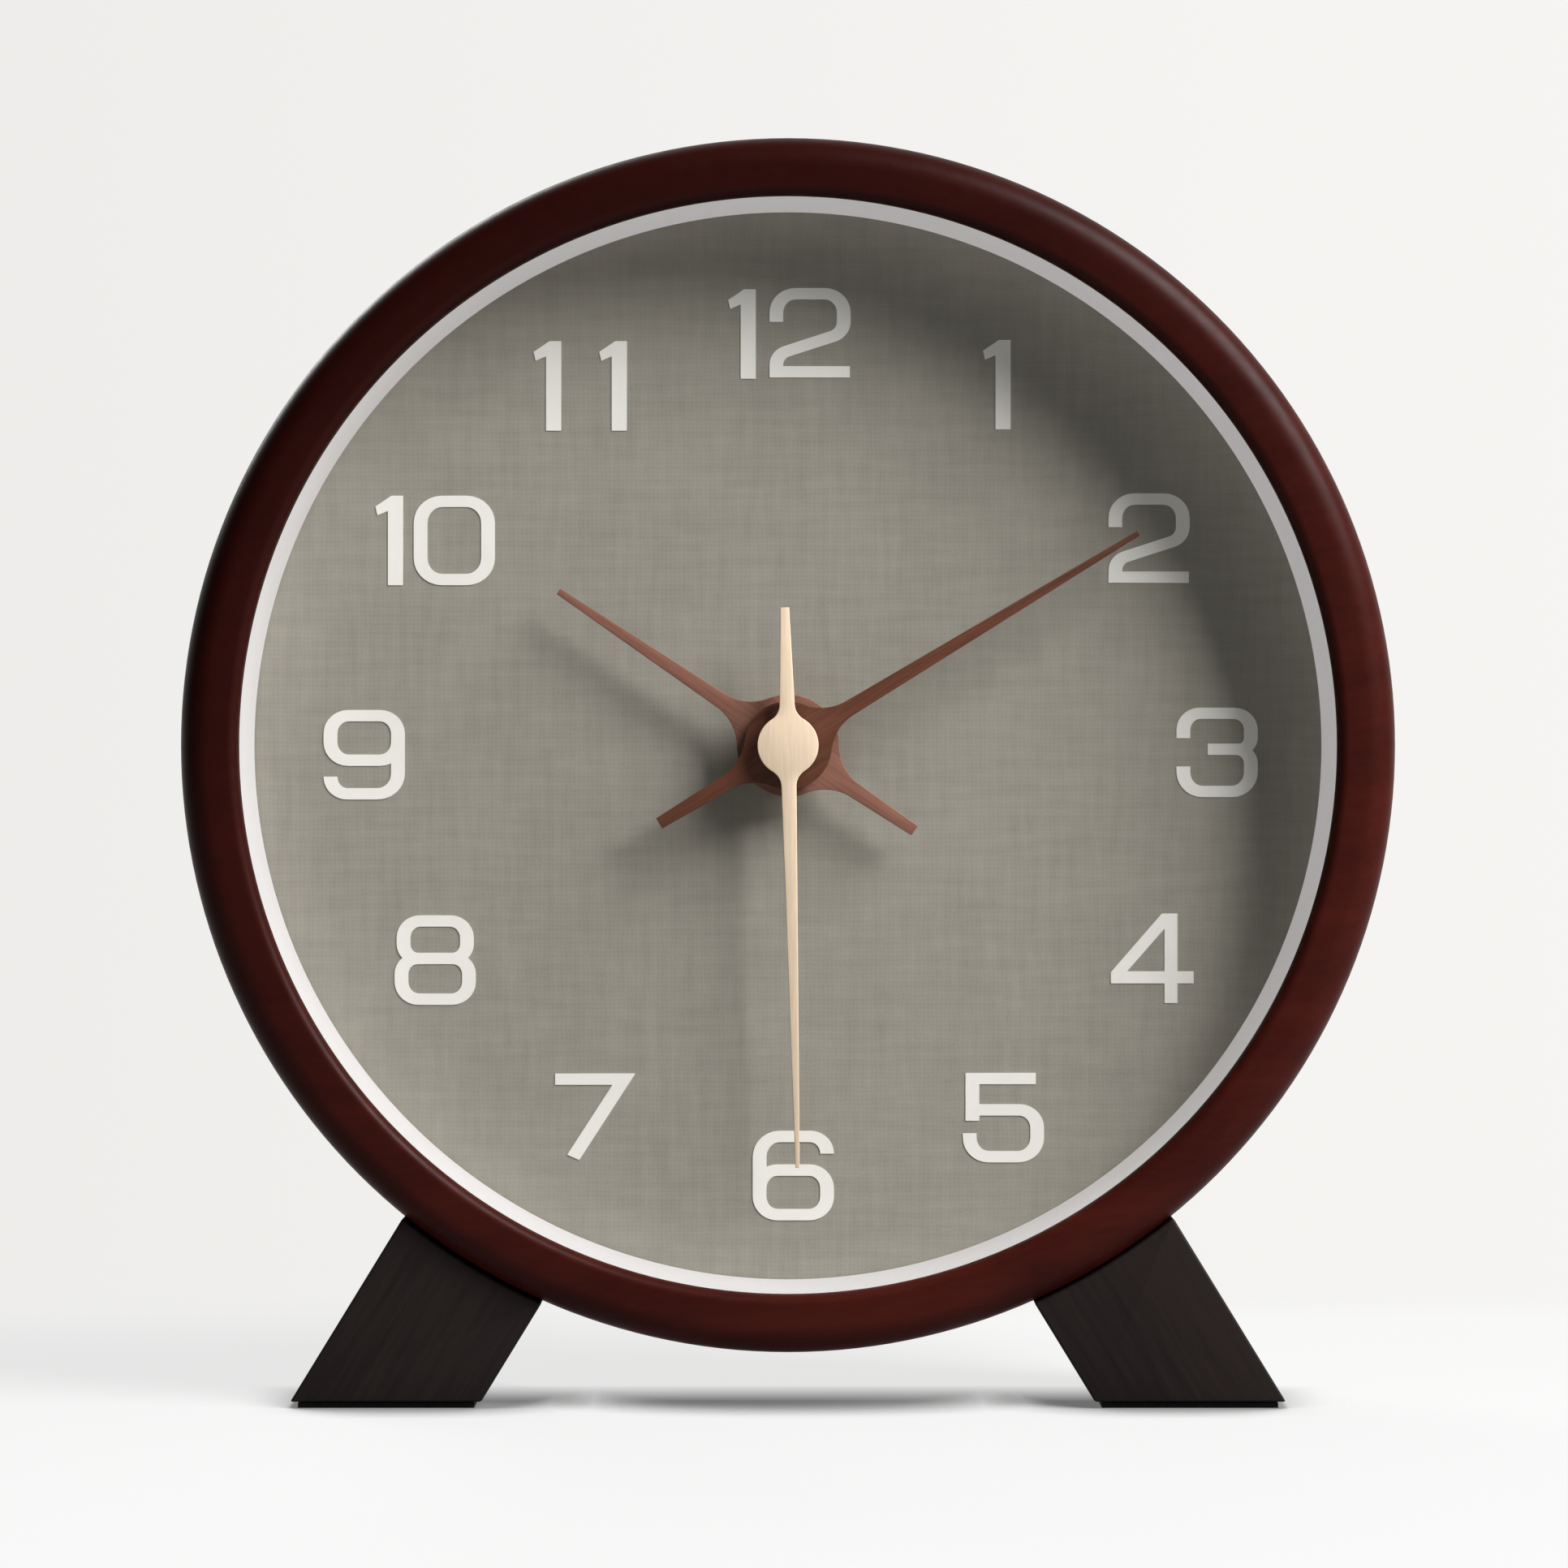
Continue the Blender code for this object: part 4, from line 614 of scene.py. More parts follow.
def pressed_board(tone):
    """Dark pressed fibre board."""
    look = Finish("pressed_board", tone, 0.7)
    fibres = look.noise(900, 5, look.laid(scale=(0.35, 1, 1), turned=(0, 0.5, 0)), 0.6, 1.2)
    flecks = look.noise(2400, 3, None, 0.7)
    share = look.maths("ADD", look.maths("MULTIPLY", fibres, 0.6), look.maths("MULTIPLY", flecks, 0.4))
    look.feed("Base Color", look.mixed(look.ramp(share, 0.36, 0.66), shaded(tone, 0.7), shaded(tone, 1.5)))
    look.feed("Roughness", look.ramp(fibres, 0.3, 0.7, 0.62, 0.8))
    look.bump(share, 0.00004, 0.6)
    return look.material


def clear_sheet():
    """Clear acrylic, seen through as it is: hardly a reflection in soft light."""
    look = Finish("clear_sheet", (0.01, 0.01, 0.01), 0.06)
    look.feed("Roughness", look.ramp(look.noise(40, 2), 0.3, 0.7, 0.05, 0.08))
    look.set("Alpha", 0.05)
    look.material.surface_render_method = "BLENDED"
    return look.material


def copper_winding():
    """Fine enamelled wire, laid turn by turn along X."""
    look = Finish("copper_winding", linear("a5552c"), 0.32, 1.0)
    turns = look.wave(1600, look.laid(), 0.3, 1.0, "X")
    look.feed("Base Color", look.mixed(turns, linear("6a2f16"), linear("bd6a3a")))
    look.bump(turns, 0.00005, 0.9)
    look.set("Coat Weight", 0.4)
    return look.material


def circuit_green():
    """Solder mask over a woven board, with pale tracks under it."""
    look = Finish("circuit_green", linear("1d5a34"), 0.35)
    tracks = look.wave(110, look.laid(turned=(0, 0.785, 0)), 6.0, 0.0, "X", "SAW")
    weave = look.noise(1800, 2)
    edge = look.ramp(tracks, 0.70, 0.74)
    look.feed("Base Color", look.mixed(edge, linear("17502c"), linear("2b7040")))
    look.bump(edge, 0.00003, 0.7)
    look.bump(weave, 0.000006, 0.5)
    return look.material


class Looks:
    """Every material of the clock, made once."""

    def __init__(self):
        paint = sizes("colours")
        self.mahogany = mahogany(paint.mahogany, paint.mahogany_dark_figure_and_shade)
        self.feet = {
            side: wood(
                f"black_stain_{side}",
                paint.black_stain,
                shaded(paint.black_stain, 0.55),
                (0, math.pi / 2 + lean, 0),
                roughness=0.55,
                specular=0.12,
            )
            for side, lean in (("left", -sizes("case").foot_angle), ("right", sizes("case").foot_angle))
        }
        # The white ring's material glows: painted light that keeps its shaded side pale
        self.white = glowing_white(paint.white_ring)
        self.linen = linen(paint.dial_paper)
        self.ink = plain("printed_ink", paint.print_ink, 0.6, spread=0.02, depth=0.000004)
        self.hands = {}
        for hand, tone, dark in (
            ("hour", paint.hour_wood, 0.62),
            ("minute", paint.minute_wood, 0.5),
            ("second", paint.second_wood, 0.84),
        ):
            along = (0, math.pi / 2 - sizes(hand).angle, 0)
            self.hands[hand] = wood(
                f"{hand}_hand_wood",
                tone,
                shaded(tone, dark),
                along,
                grain=1900,
                roughness=0.5,
                specular=0.2,
                pores=0.00001,
            )
        self.board = pressed_board(paint.board)
        self.clear = clear_sheet()
        self.rubber = plain("rubber", linear("1c1b1b"), 0.8, grain=1500, depth=0.00003, specular=0.3)
        self.plastic = plain("black_plastic", paint.plastic, 0.5, grain=2200, depth=0.00003)
        self.wheel = plain("acetal", linear("e6e3da"), 0.45, grain=1200, spread=0.03)
        self.knob = plain("grey_plastic", linear("8d8f92"), 0.45, grain=1600, spread=0.04)
        self.brass = brushed("brass", linear("c9a35a"), 0.28)
        self.steel = brushed("steel", linear("a9abae"), 0.3)
        self.iron = brushed("iron", linear("7d7f82"), 0.42)
        self.copper = copper_winding()
        self.magnet = plain("ferrite", linear("2a2b2d"), 0.5, grain=2400, spread=0.12)
        self.circuit = circuit_green()
        self.chip = plain("black_resin", linear("121213"), 0.3, grain=900, spread=0.1)
        self.cell = plain("cell_jacket", linear("2d6f8f"), 0.35, grain=900, spread=0.03)
        self.tin = brushed("tin_plate", linear("c9cacb"), 0.25)


NODE_LOOKS = {
    "linen": ("dial",),
    "clear": ("lens",),
    "board": ("dial_retaining_ring",),
    "rubber": ("foot_pad_left", "foot_pad_right", "dial_washer"),
    "plastic": ("movement_housing", "movement_cover", "middle_plate"),
    "wheel": ("minute_pipe", "centre_wheel", "seconds_wheel", "third_wheel", "hour_wheel", "minute_wheel",
              "intermediate_wheel"),
    "knob": ("setting_knob", "setting_shaft"),
    "brass": ("centre_bush", "nut_washer", "hex_nut", "hour_hand_collet", "minute_hand_collet",
              "second_hand_socket"),
    "steel": ("foot_screw_left_1", "foot_screw_left_2", "foot_screw_right_1", "foot_screw_right_2",
              "motor_screw_left", "motor_screw_right", "quartz_crystal", "battery_contact_positive",
              "battery_contact_negative"),
    "iron": ("stator", "coil_core"),
    "copper": ("coil",),
    "magnet": ("rotor",),
    "circuit": ("circuit_board",),
    "chip": ("clock_chip",),
}


# Case, white ring and feet
FOOT_START_SHARE = 0.9


def bored(piece, bore, front, back, taper=0.0):
    """In edit mode, opens a drum from end to end by insets in both ends and a bridge between them."""
    for direction, level, inner in (((0, -1, 0), front, bore), ((0, 1, 0), back, bore - taper)):
        pick("FACE", facing(direction, level))
        mesh = bmesh.from_edit_mesh(piece.data)
        face = next(f for f in mesh.faces if f.select)
        bpy.ops.mesh.inset(thickness=farthest(face) - inner, depth=0)
    ends = [facing((0, -1, 0), front), facing((0, 1, 0), back)]
    middle = (bore + REBATE_RADIUS - taper) / 2
    pick("FACE", lambda face: any(test(face) for test in ends) and farthest(face) < middle)
    bpy.ops.mesh.bridge_edge_loops()


def make_case(looks):
    """The wooden ring, turned: a round front edge, an opening, and a rebate behind it."""
    shape = sizes("case")
    opening = CASE_RADIUS - shape.face_width
    lip = LENS_LOW.y - shape.joint
    ring = drum("turned_case", CASE_RADIUS, FRONT, BACK, shape.steps)
    edit(ring)
    pick("FACE", facing((0, 1, 0), BACK))
    bpy.ops.mesh.inset(thickness=CASE_RADIUS - REBATE_RADIUS, depth=0)
    bpy.ops.mesh.extrude_region_move(TRANSFORM_OT_translate={"value": (0, lip - BACK, 0)})
    bpy.ops.mesh.inset(thickness=REBATE_RADIUS - opening, depth=0)
    pick("FACE", facing((0, -1, 0), FRONT))
    bpy.ops.mesh.inset(thickness=CASE_RADIUS - opening, depth=0)
    pick("FACE", lambda face: abs(face.normal.y) > 0.9 and farthest(face) < opening + NEAR)
    bpy.ops.mesh.bridge_edge_loops()
    bevelled(on_circle(CASE_RADIUS, FRONT), shape.front_round, 14)
    bevelled(on_circle(opening, FRONT), shape.inner_round, 8)
    bevelled(on_circle(CASE_RADIUS, BACK), shape.back_round, 6)
    bevelled(on_circle(REBATE_RADIUS, BACK), shape.joint, 2)
    done()
    smooth(ring, 30)
    dress(ring, looks.mahogany, "case", "rim", "case_ring")


def make_white_ring(looks):
    """The white ring between the lens and the dial, a little narrower towards the dial. Its material glows:
    painted light on its shaded side.
    """
    shape = sizes("case")
    bore = CASE_RADIUS - shape.face_width + shape.ring_step
    ring = drum("white_ring", RING_HIGH.x, RING_LOW.y, RING_HIGH.y, shape.steps)
    edit(ring)
    bored(ring, bore, RING_LOW.y, RING_HIGH.y, shape.ring_taper)
    bevelled(on_circle(bore, RING_LOW.y), shape.ring_edge, 3)
    bevelled(on_circle(bore - shape.ring_taper, RING_HIGH.y), shape.ring_edge, 3)
    done()
    smooth(ring, 30)
    dress(ring, looks.white, "case", "white", "spacer_ring")


def make_foot(looks, side, name):
    """A raked foot: a block turned to its direction, cut to the case above and level below."""
    shape = sizes("case")
    low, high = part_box(f"foot_{name}")
    lean = side * shape.foot_angle
    half = shape.foot_width / 2
    reach = CASE_RADIUS + shape.joint
    direction = Vector((math.sin(lean), 0, -math.cos(lean)))
    inside = reach * FOOT_START_SHARE
    outside = (AXIS.z - low.z) / math.cos(lean) + shape.foot_width
    middle = AXIS + direction * (inside + outside) / 2
    middle.y = (low.y + high.y) / 2
    extent = Vector((half, (high.y - low.y) / 2, (outside - inside) / 2))
    foot = block(f"raked_foot_{name}", middle - extent, middle + extent, -lean)
    edit(foot)
    bpy.ops.mesh.select_all(action="SELECT")
    bpy.ops.mesh.bisect(plane_co=(0, 0, low.z), plane_no=(0, 0, -1), use_fill=True, clear_outer=True)
    done()
    cut(foot, drum("case_space", reach, FRONT, BACK, shape.steps))
    rounded(foot, shape.foot_edge, 4, 50)
    smooth(foot, 30)
    dress(foot, looks.feet[name], "case", "foot", f"foot_{name}")


# Numbers, drawn with a pen whose upright strokes are wider than its level ones
# Each stroke is a list of corners as shares of the numeral's size, with a radius in millimetres. The
# numerals with sharp corners alone are outlines instead, solid or cut out.
STROKES = {
    "0": (("closed", ((0, 0, 3.6), (0, 1, 3.6), (1, 1, 3.6), (1, 0, 3.6))),),
    "1": (("solid", ((0.45, 0), (1, 0), (1, 1), (0.58, 1), (0, 0.88), (0.07, 0.78), (0.45, 0.83))),),
    "2": (
        (
            "open",
            ((0, 0.64, 0), (0, 1, 3.2), (1, 1, 3.2), (1, 0.50, 2.6), (0, 0.22, 2.4), (0, 0, 0),
             (1.09, 0, 0)),
        ),
    ),
    "3": (
        ("open", ((0, 0.68, 0), (0, 1, 2.8), (1, 1, 2.8), (1, 0.54, 1.9), (0.36, 0.54, 0))),
        ("open", ((0.36, 0.54, 0), (1, 0.54, 2.4), (1, 0, 3.2), (0, 0, 3.2), (0, 0.32, 0))),
    ),
    "4": (
        (
            "solid",
            ((0, 0.22), (0.66, 0.22), (0.66, 0), (0.82, 0), (0.82, 0.22), (1.02, 0.22), (1.02, 0.355),
             (0.82, 0.355), (0.82, 1), (0.63, 1), (0, 0.345)),
        ),
        ("hole", ((0.20, 0.355), (0.66, 0.355), (0.66, 0.83))),
    ),
    "5": (
        ("open", ((0.98, 1, 0), (0.04, 1, 0), (0.04, 0.46, 0))),
        (
            "open",
            ((0.04, 0.50, 0), (0.04, 0.60, 1.6), (1, 0.60, 3.0), (1, 0, 3.2), (0, 0, 3.2), (0, 0.30, 0)),
        ),
    ),
    "6": (
        ("closed", ((0, 0, 3.0), (0, 0.57, 3.0), (1, 0.57, 3.0), (1, 0, 3.0))),
        ("open", ((0, 0.30, 0), (0, 1, 3.4), (1, 1, 3.0), (1, 0.78, 0))),
    ),
    "7": (("open", ((-0.05, 1, 0), (0.97, 1, 0), (0.22, 0, 0))),),
    "8": (
        ("closed", ((0, 0, 2.9), (0, 0.52, 2.6), (1, 0.52, 2.6), (1, 0, 2.9))),
        ("closed", ((0.03, 0.52, 2.4), (0.03, 1, 2.8), (0.97, 1, 2.8), (0.97, 0.52, 2.4))),
    ),
}
NARROW_SHARE = 0.34
CORNER_STEPS = 7

# Where each numeral's middle stands on the dial, in millimetres from the hands' axis
NUMBERS = {
    1: (("1", 35.0, 60.5),),
    2: (("2", 60.5, 34.8),),
    3: (("3", 71.9, -1.1),),
    4: (("4", 60.9, -35.6),),
    5: (("5", 36.1, -62.3),),
    6: (("6", 0.9, -72.0),),
    7: (("7", -32.8, -62.4),),
    8: (("8", -59.1, -35.9),),
    9: (("9", -71.0, -1.5),),
    10: (("1", -66.8, 34.4), ("0", -55.9, 34.4)),
    11: (("1", -40.3, 60.3), ("1", -29.3, 60.3)),
    12: (("1", -7.7, 69.0), ("2", 3.7, 69.2)),
}


def softened(corners, closed):
    """A centreline with an arc at each corner that has a radius."""
    points = []
    total = len(corners)
    for place, (x, y, radius) in enumerate(corners):
        here = Vector((x, y))
        if radius == 0 or (not closed and place in (0, total - 1)):
            points.append(here)
            continue
        before = Vector(corners[place - 1][:2]) - here
        after = Vector(corners[(place + 1) % total][:2]) - here
        half = before.angle(after) / 2
        room = min(before.length, after.length) * (0.5 if closed else 0.98)
        reach = min(radius / math.tan(half), room)
        radius = reach * math.tan(half)
        start = here + before.normalized() * reach
        end = here + after.normalized() * reach
        middle = here + (before.normalized() + after.normalized()).normalized() * radius / math.sin(half)
        first = math.atan2(*(start - middle).yx)
        sweep = math.remainder(math.atan2(*(end - middle).yx) - first, 2 * math.pi)
        for step in range(CORNER_STEPS + 1):
            angle = first + sweep * step / CORNER_STEPS
            points.append(middle + radius * Vector((math.cos(angle), math.sin(angle))))
    return points


def pen_stroke(centreline, closed, half):
    """The outlines of a stroke: one for an open stroke, and an outer and an inner one for a closed one."""
    left, right = [], []
    total = len(centreline)
    for place, here in enumerate(centreline):
        into = here - centreline[place - 1] if closed or place else None
        out = centreline[(place + 1) % total] - here if closed or place < total - 1 else None
        ways = [way.normalized() for way in (into, out) if way is not None and way.length > 1e-7]
        way = sum(ways, Vector((0, 0))).normalized()
        side = Vector((-way.y, way.x))
        spread = max(side.dot(Vector((-ways[0].y, ways[0].x))), 0.3)
        left.append(here + side * half / spread)
        right.append(here - side * half / spread)
    if closed:
        return [left, right]
    return [left + right[::-1]]


def numeral(name, digit):
    """One numeral, standing round the clock's axis, from its strokes."""
    pen = sizes("numbers")
    squeeze = pen.level / pen.upright
    width = pen.width * (NARROW_SHARE if digit == "1" else 1) - pen.upright
    height = pen.height - pen.level
    strokes = STROKES["6" if digit == "9" else digit]
    flip = -1 if digit == "9" else 1
    whole = None
    for kind, corners in strokes:
        if kind in ("solid", "hole"):
            wide = width + pen.upright
            outlines = [[((x - 0.5) * wide, (y - 0.5) * pen.height) for x, y in corners]]
        else:
            closed = kind == "closed"
            placed = [((x - 0.5) * width, (y - 0.5) * height, radius * MM) for x, y, radius in corners]
            centreline = [Vector((p.x * squeeze, p.y)) for p in softened(placed, closed)]
            outlines = [
                [(flip * p.x / squeeze, flip * p.y) for p in outline]
                for outline in pen_stroke(centreline, closed, pen.level / 2)
            ]
        if kind == "hole":
            part = flat_piece(name, outlines, DIAL_FACE - pen.thickness * 3, pen.thickness * 5)
            cut(whole, part)
        else:
            part = flat_piece(name, outlines, DIAL_FACE - pen.thickness, pen.thickness)
            if whole is None:
                whole = part
            else:
                cut(whole, part, "UNION")
    return whole


def make_numbers(looks):
    """The numbers 1 to 12, each numeral drawn once and copied to its places."""
    drawn = {}
    for number, places in NUMBERS.items():
        parts = []
        for digit, x, y in places:
            if digit not in drawn:
                drawn[digit] = numeral(f"numeral_{digit}", digit)
            part = drawn[digit].copy()
            part.data = drawn[digit].data.copy()
            bpy.context.scene.collection.objects.link(part)
            part.data.transform(Matrix.Translation((x * MM, 0, y * MM)))
            parts.append(part)
        only(parts[0])
        for part in parts:
            part.select_set(True)
        if len(parts) > 1:
            bpy.ops.object.join()
        parts[0].name = f"number_{number}"
        parts[0].data.name = parts[0].name
        dress(parts[0], looks.ink, "case", "white")
    for part in drawn.values():
        bpy.data.objects.remove(part)


# Hands
HUB_STEPS = 48
FLARE_STEPS = 18
HAND_EDGE = 0.00012
COLLET_PLAY = 0.00015


def hand_side(hub, flare, reach, width, tip):
    """From a hand's tip to its hub on the right, for a hand that points up."""
    across = width / 2 + flare
    up = math.sqrt((hub + flare) ** 2 - across**2)
    meeting = math.degrees(math.atan2(-up, -across)) + 360
    return [(tip / 2, reach)] + arc((across, up), flare, 180, meeting, FLARE_STEPS)


def hand_outline(shape):
    """A hand's outline: arm, flared hub and tail."""
    upper = hand_side(shape.hub, shape.flare, shape.reach, shape.width, shape.tip)
    lower = hand_side(shape.hub, shape.flare, shape.tail, shape.width, shape.tail_tip)
    lower = [(x, -y) for x, y in reversed(lower)]
    start = math.degrees(math.atan2(upper[-1][1], upper[-1][0]))
    end = math.degrees(math.atan2(lower[0][1], lower[0][0]))
    right = upper + arc((0, 0), shape.hub, start, end, HUB_STEPS)[1:-1] + lower
    return right + [(-x, y) for x, y in reversed(right)]


def make_hand(looks, hand, body):
    """One wooden hand with softened edges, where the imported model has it."""
    shape = sizes(hand)
    low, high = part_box(f"{hand}_hand")
    outlines = [hand_outline(shape)]
    if hand != "second":
        collet_low, collet_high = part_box(f"{hand}_hand_collet")
        bore = (collet_high.x - collet_low.x) / 2 + COLLET_PLAY
        outlines.append(arc((0, 0), bore, 0, 360, HUB_STEPS)[:-1])
    piece = flat_piece(f"{hand}_hand_wood", outlines, low.y, high.y - low.y, HAND_EDGE, shape.angle)
    smooth(piece, 40)
    dress(piece, looks.hands[hand], body, f"{hand}_hand", f"{hand}_hand")


# Back
WAY_STEPS = 32
SCREW_STEPS = 40
CELL_STEPS = 64
POINT_SHARE = 0.04
RECESS_SHARE = 0.6
ROLL_SHARE = 1.3


def make_back_board(looks):
    """The back board: a disc with a square hatch round the movement, and ways for its screws."""
    shape = sizes("back")
    housing_low, housing_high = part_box("movement_housing")
    half = (housing_high.x - housing_low.x) / 2 + shape.hatch_margin
    board = drum("round_back_board", BOARD_HIGH.x, BOARD_LOW.y, BOARD_HIGH.y, sizes("case").steps)
    middle = (housing_low.z + housing_high.z) / 2
    low = (-half, BOARD_LOW.y - half, middle - half)
    high = (half, BOARD_HIGH.y + half, middle + half)
    hatch = block("hatch_space", low, high)
    edit(hatch)
    bevelled(lambda e: abs(e.verts[0].co.y - e.verts[1].co.y) > half, shape.hatch_round, 10)
    done()
    cut(board, hatch)
    shank = shape.screw_shank + shape.screw_play
    head = shape.screw_head + shape.screw_play
    mouth = head + (head - shank) / 4
    seat = BOARD_HIGH.y - shape.screw_depth
    past = shape.screw_depth / 4
    for place in screw_places():
        cut(board, drum("shank_way", shank, BOARD_LOW.y - past, BOARD_HIGH.y + past, WAY_STEPS, place))
        cut(board, drum("head_way", shank, seat, BOARD_HIGH.y + past, WAY_STEPS, place, mouth))
    edit(board)
    bpy.ops.mesh.select_all(action="SELECT")
    bpy.ops.mesh.quads_convert_to_tris(quad_method="BEAUTY", ngon_method="BEAUTY")
    done()
    rounded(board, shape.board_edge, 3, 60)
    smooth(board, 30)
    dress(board, looks.board, "case", "board", "back_board")


def screw_places():
    """Where the four board screws stand."""
    circle = sizes("back").screw_circle
    angles = [math.radians(angle) for angle in (45, 135, 225, 315)]
    return [Vector((circle * math.cos(angle), 0, AXIS.z + circle * math.sin(angle))) for angle in angles]


def make_board_screws(looks):
    """Countersunk screws with a cross recess, modelled once and copied."""
    shape = sizes("back")
    low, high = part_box("board_screw_1")
    first = screw_places()[0]
    head = high.y - shape.screw_depth
    shank_end = low.y + shape.screw_tip
    screw = drum("screw", shape.screw_shank, head, high.y, SCREW_STEPS, first, shape.screw_head)
    edit(screw)
    pick("FACE", facing((0, -1, 0), head))
    bpy.ops.mesh.extrude_region_move(TRANSFORM_OT_translate={"value": (0, shank_end - head, 0)})
    bpy.ops.mesh.extrude_region_move(TRANSFORM_OT_translate={"value": (0, low.y - shank_end, 0)})
    bpy.ops.transform.resize(value=(POINT_SHARE, 1, POINT_SHARE), center_override=(first.x, low.y, first.z))
    done()
    for turned_by in (0, math.pi / 2):
        extent = Vector((shape.recess / 2, shape.screw_depth * RECESS_SHARE, shape.recess_width / 2))
        middle = Vector((first.x, high.y, first.z))
        arm = block("recess", middle - extent, middle + extent, turned_by + shape.recess_turn)
        cut(screw, arm)
    smooth(screw, 30)
    for number, place in enumerate(screw_places(), 1):
        copy = screw.copy()
        copy.data = screw.data.copy()
        bpy.context.scene.collection.objects.link(copy)
        copy.name = f"board_screw_crossed_{number}"
        copy.data.name = copy.name
        spin = Matrix.Rotation(shape.screw_turn * number, 4, "Y")
        copy.data.transform(Matrix.Translation(place) @ spin @ Matrix.Translation(-first))
        dress(copy, looks.steel, "case", "steel", f"board_screw_{number}")
    bpy.data.objects.remove(screw)


def cell_drum(name, radius, start, end):
    """A round drum along X on the battery's axis."""
    middle = (CELL_LOW + CELL_HIGH) / 2
    bpy.ops.object.select_all(action="DESELECT")
    bpy.ops.mesh.primitive_cylinder_add(
        vertices=CELL_STEPS,
        radius=radius,
        depth=end - start,
        location=((start + end) / 2, middle.y, middle.z),
        rotation=(0, math.pi / 2, 0),
    )
    return settle(name)


def make_cell(looks):
    """A plain battery: a jacket that is rolled in over two bare metal ends, and the positive one's nub."""
    shape = sizes("back")
    radius = (CELL_HIGH.z - CELL_LOW.z) / 2
    start = CELL_LOW.x + shape.cell_foot
    end = CELL_HIGH.x - shape.cell_nub
    jacket = cell_drum("cell_jacket", radius, start, end)
    edit(jacket)
    for side, level in ((-1, start), (1, end)):
        pick("FACE", lambda face: face.normal.x * side > 0.9)
        bpy.ops.mesh.inset(thickness=shape.cell_roll, depth=0)
        bpy.ops.mesh.extrude_region_move(TRANSFORM_OT_translate={"value": (-side * shape.cell_foot, 0, 0)})
    done()
    rounded(jacket, shape.cell_foot * 0.9, 3, 50)
    smooth(jacket, 35)
    dress(jacket, looks.cell, "case", "battery", "battery")
    disc = radius - shape.cell_roll * ROLL_SHARE
    base = cell_drum("cell_base", disc, CELL_LOW.x, start + shape.cell_foot)
    nub = cell_drum("cell_nub", shape.cell_nub_radius, end - shape.cell_foot, CELL_HIGH.x)
    plate = cell_drum("cell_plate", disc, end - shape.cell_foot, end - shape.cell_foot / 2)
    cut(nub, plate, "UNION")
    for piece in (base, nub):
        rounded(piece, shape.cell_foot / 2, 3, 50)
        smooth(piece, 35)
        dress(piece, looks.tin, "case", "battery")


# Studio: which way the light behind the clock stands, and which way the floor looks for the clock above it
# when it paints its shadow
BEHIND = Vector((-0.55, 0.85, 0.65))
PAINTED_SHADOW_TILT = (0, 0.75, 0.66)
ROOM_EDGE = 0.17


def make_studio():
    """A pale floor before a pale room, two large soft lights, and the camera."""
    studio = sizes("studio")
    make_floor(studio)
    make_room(studio)
    aim = AXIS + Vector((0, DIAL_FACE, 0))
    zenith, azimuth = studio.key_zenith, studio.key_azimuth
    towards = Vector(
        (math.sin(zenith) * math.cos(azimuth), -math.cos(zenith), math.sin(zenith) * math.sin(azimuth))
    )
    soft_light("key", aim + towards * studio.key_distance, aim, studio.key_size, studio.key_strength)
    soft_light("behind", AXIS + BEHIND * studio.key_distance, AXIS, studio.key_size, studio.back_strength)
    camera = bpy.data.cameras.new("camera")
    camera.sensor_width = 36
    camera.lens = camera.sensor_width * studio.distance / studio.view_width
    camera.clip_start = 0.01
    camera.dof.use_dof = False
    holder = bpy.data.objects.new("camera", camera)
    holder.location = (studio.camera_right, FRONT - studio.distance, studio.camera_height)
    holder.rotation_euler = FACING
    bpy.context.scene.collection.objects.link(holder)
    bpy.context.scene.camera = holder
    bpy.context.scene.view_settings.view_transform = "Standard"


def make_room(studio):
    """A pale room where it is seen, and a dim one where it only lights the clock."""
    world = bpy.data.worlds.new("studio")
    world.use_nodes = True
    tree = world.node_tree

    def node(kind, links=(), **settings):
        """Adds a node to the room and gives back its outputs."""
        made = tree.nodes.new(kind)
        for name, value in settings.items():
            setattr(made, name, value)
        for socket, value in dict(links).items():
            if isinstance(value, bpy.types.NodeSocket):
                tree.links.new(value, made.inputs[socket])
            else:
                made.inputs[socket].default_value = value
        return made.outputs

    place = node("ShaderNodeTexCoord")["Generated"]
    split = node("ShaderNodeSeparateXYZ", {"Vector": place})
    span = {"Value": split["X"], "From Min": -ROOM_EDGE, "From Max": ROOM_EDGE}
    across = node("ShaderNodeMapRange", span)["Result"]
    tones = {"Factor": across, 6: (*linear("eeedeb"), 1), 7: (*linear("f6f5f3"), 1)}
    tone = node("ShaderNodeMix", tones, data_type="RGBA")[2]
    seen = node("ShaderNodeBackground", {"Color": tone, "Strength": 1.0})["Background"]
    dim = node("ShaderNodeBackground", {"Color": (1, 1, 1, 1), "Strength": studio.sky})["Background"]
    rays = node("ShaderNodeLightPath")
    behind = node("ShaderNodeMapRange", {"Value": split["Y"], "From Min": 0.0, "From Max": 0.5})["Result"]
    shine = node("ShaderNodeMath", {0: rays["Is Glossy Ray"], 1: behind}, operation="MULTIPLY")["Value"]
    looked_at = node(
        "ShaderNodeMath", {0: rays["Is Camera Ray"], 1: rays["Is Transmission Ray"]}, operation="MAXIMUM"
    )["Value"]
    share = node("ShaderNodeMath", {0: looked_at, 1: shine}, operation="MAXIMUM")["Value"]
    both = node("ShaderNodeMixShader", {"Fac": share, 1: dim, 2: seen})["Shader"]
    tree.links.new(both, tree.nodes["World Output"].inputs["Surface"])
    bpy.context.scene.world = world


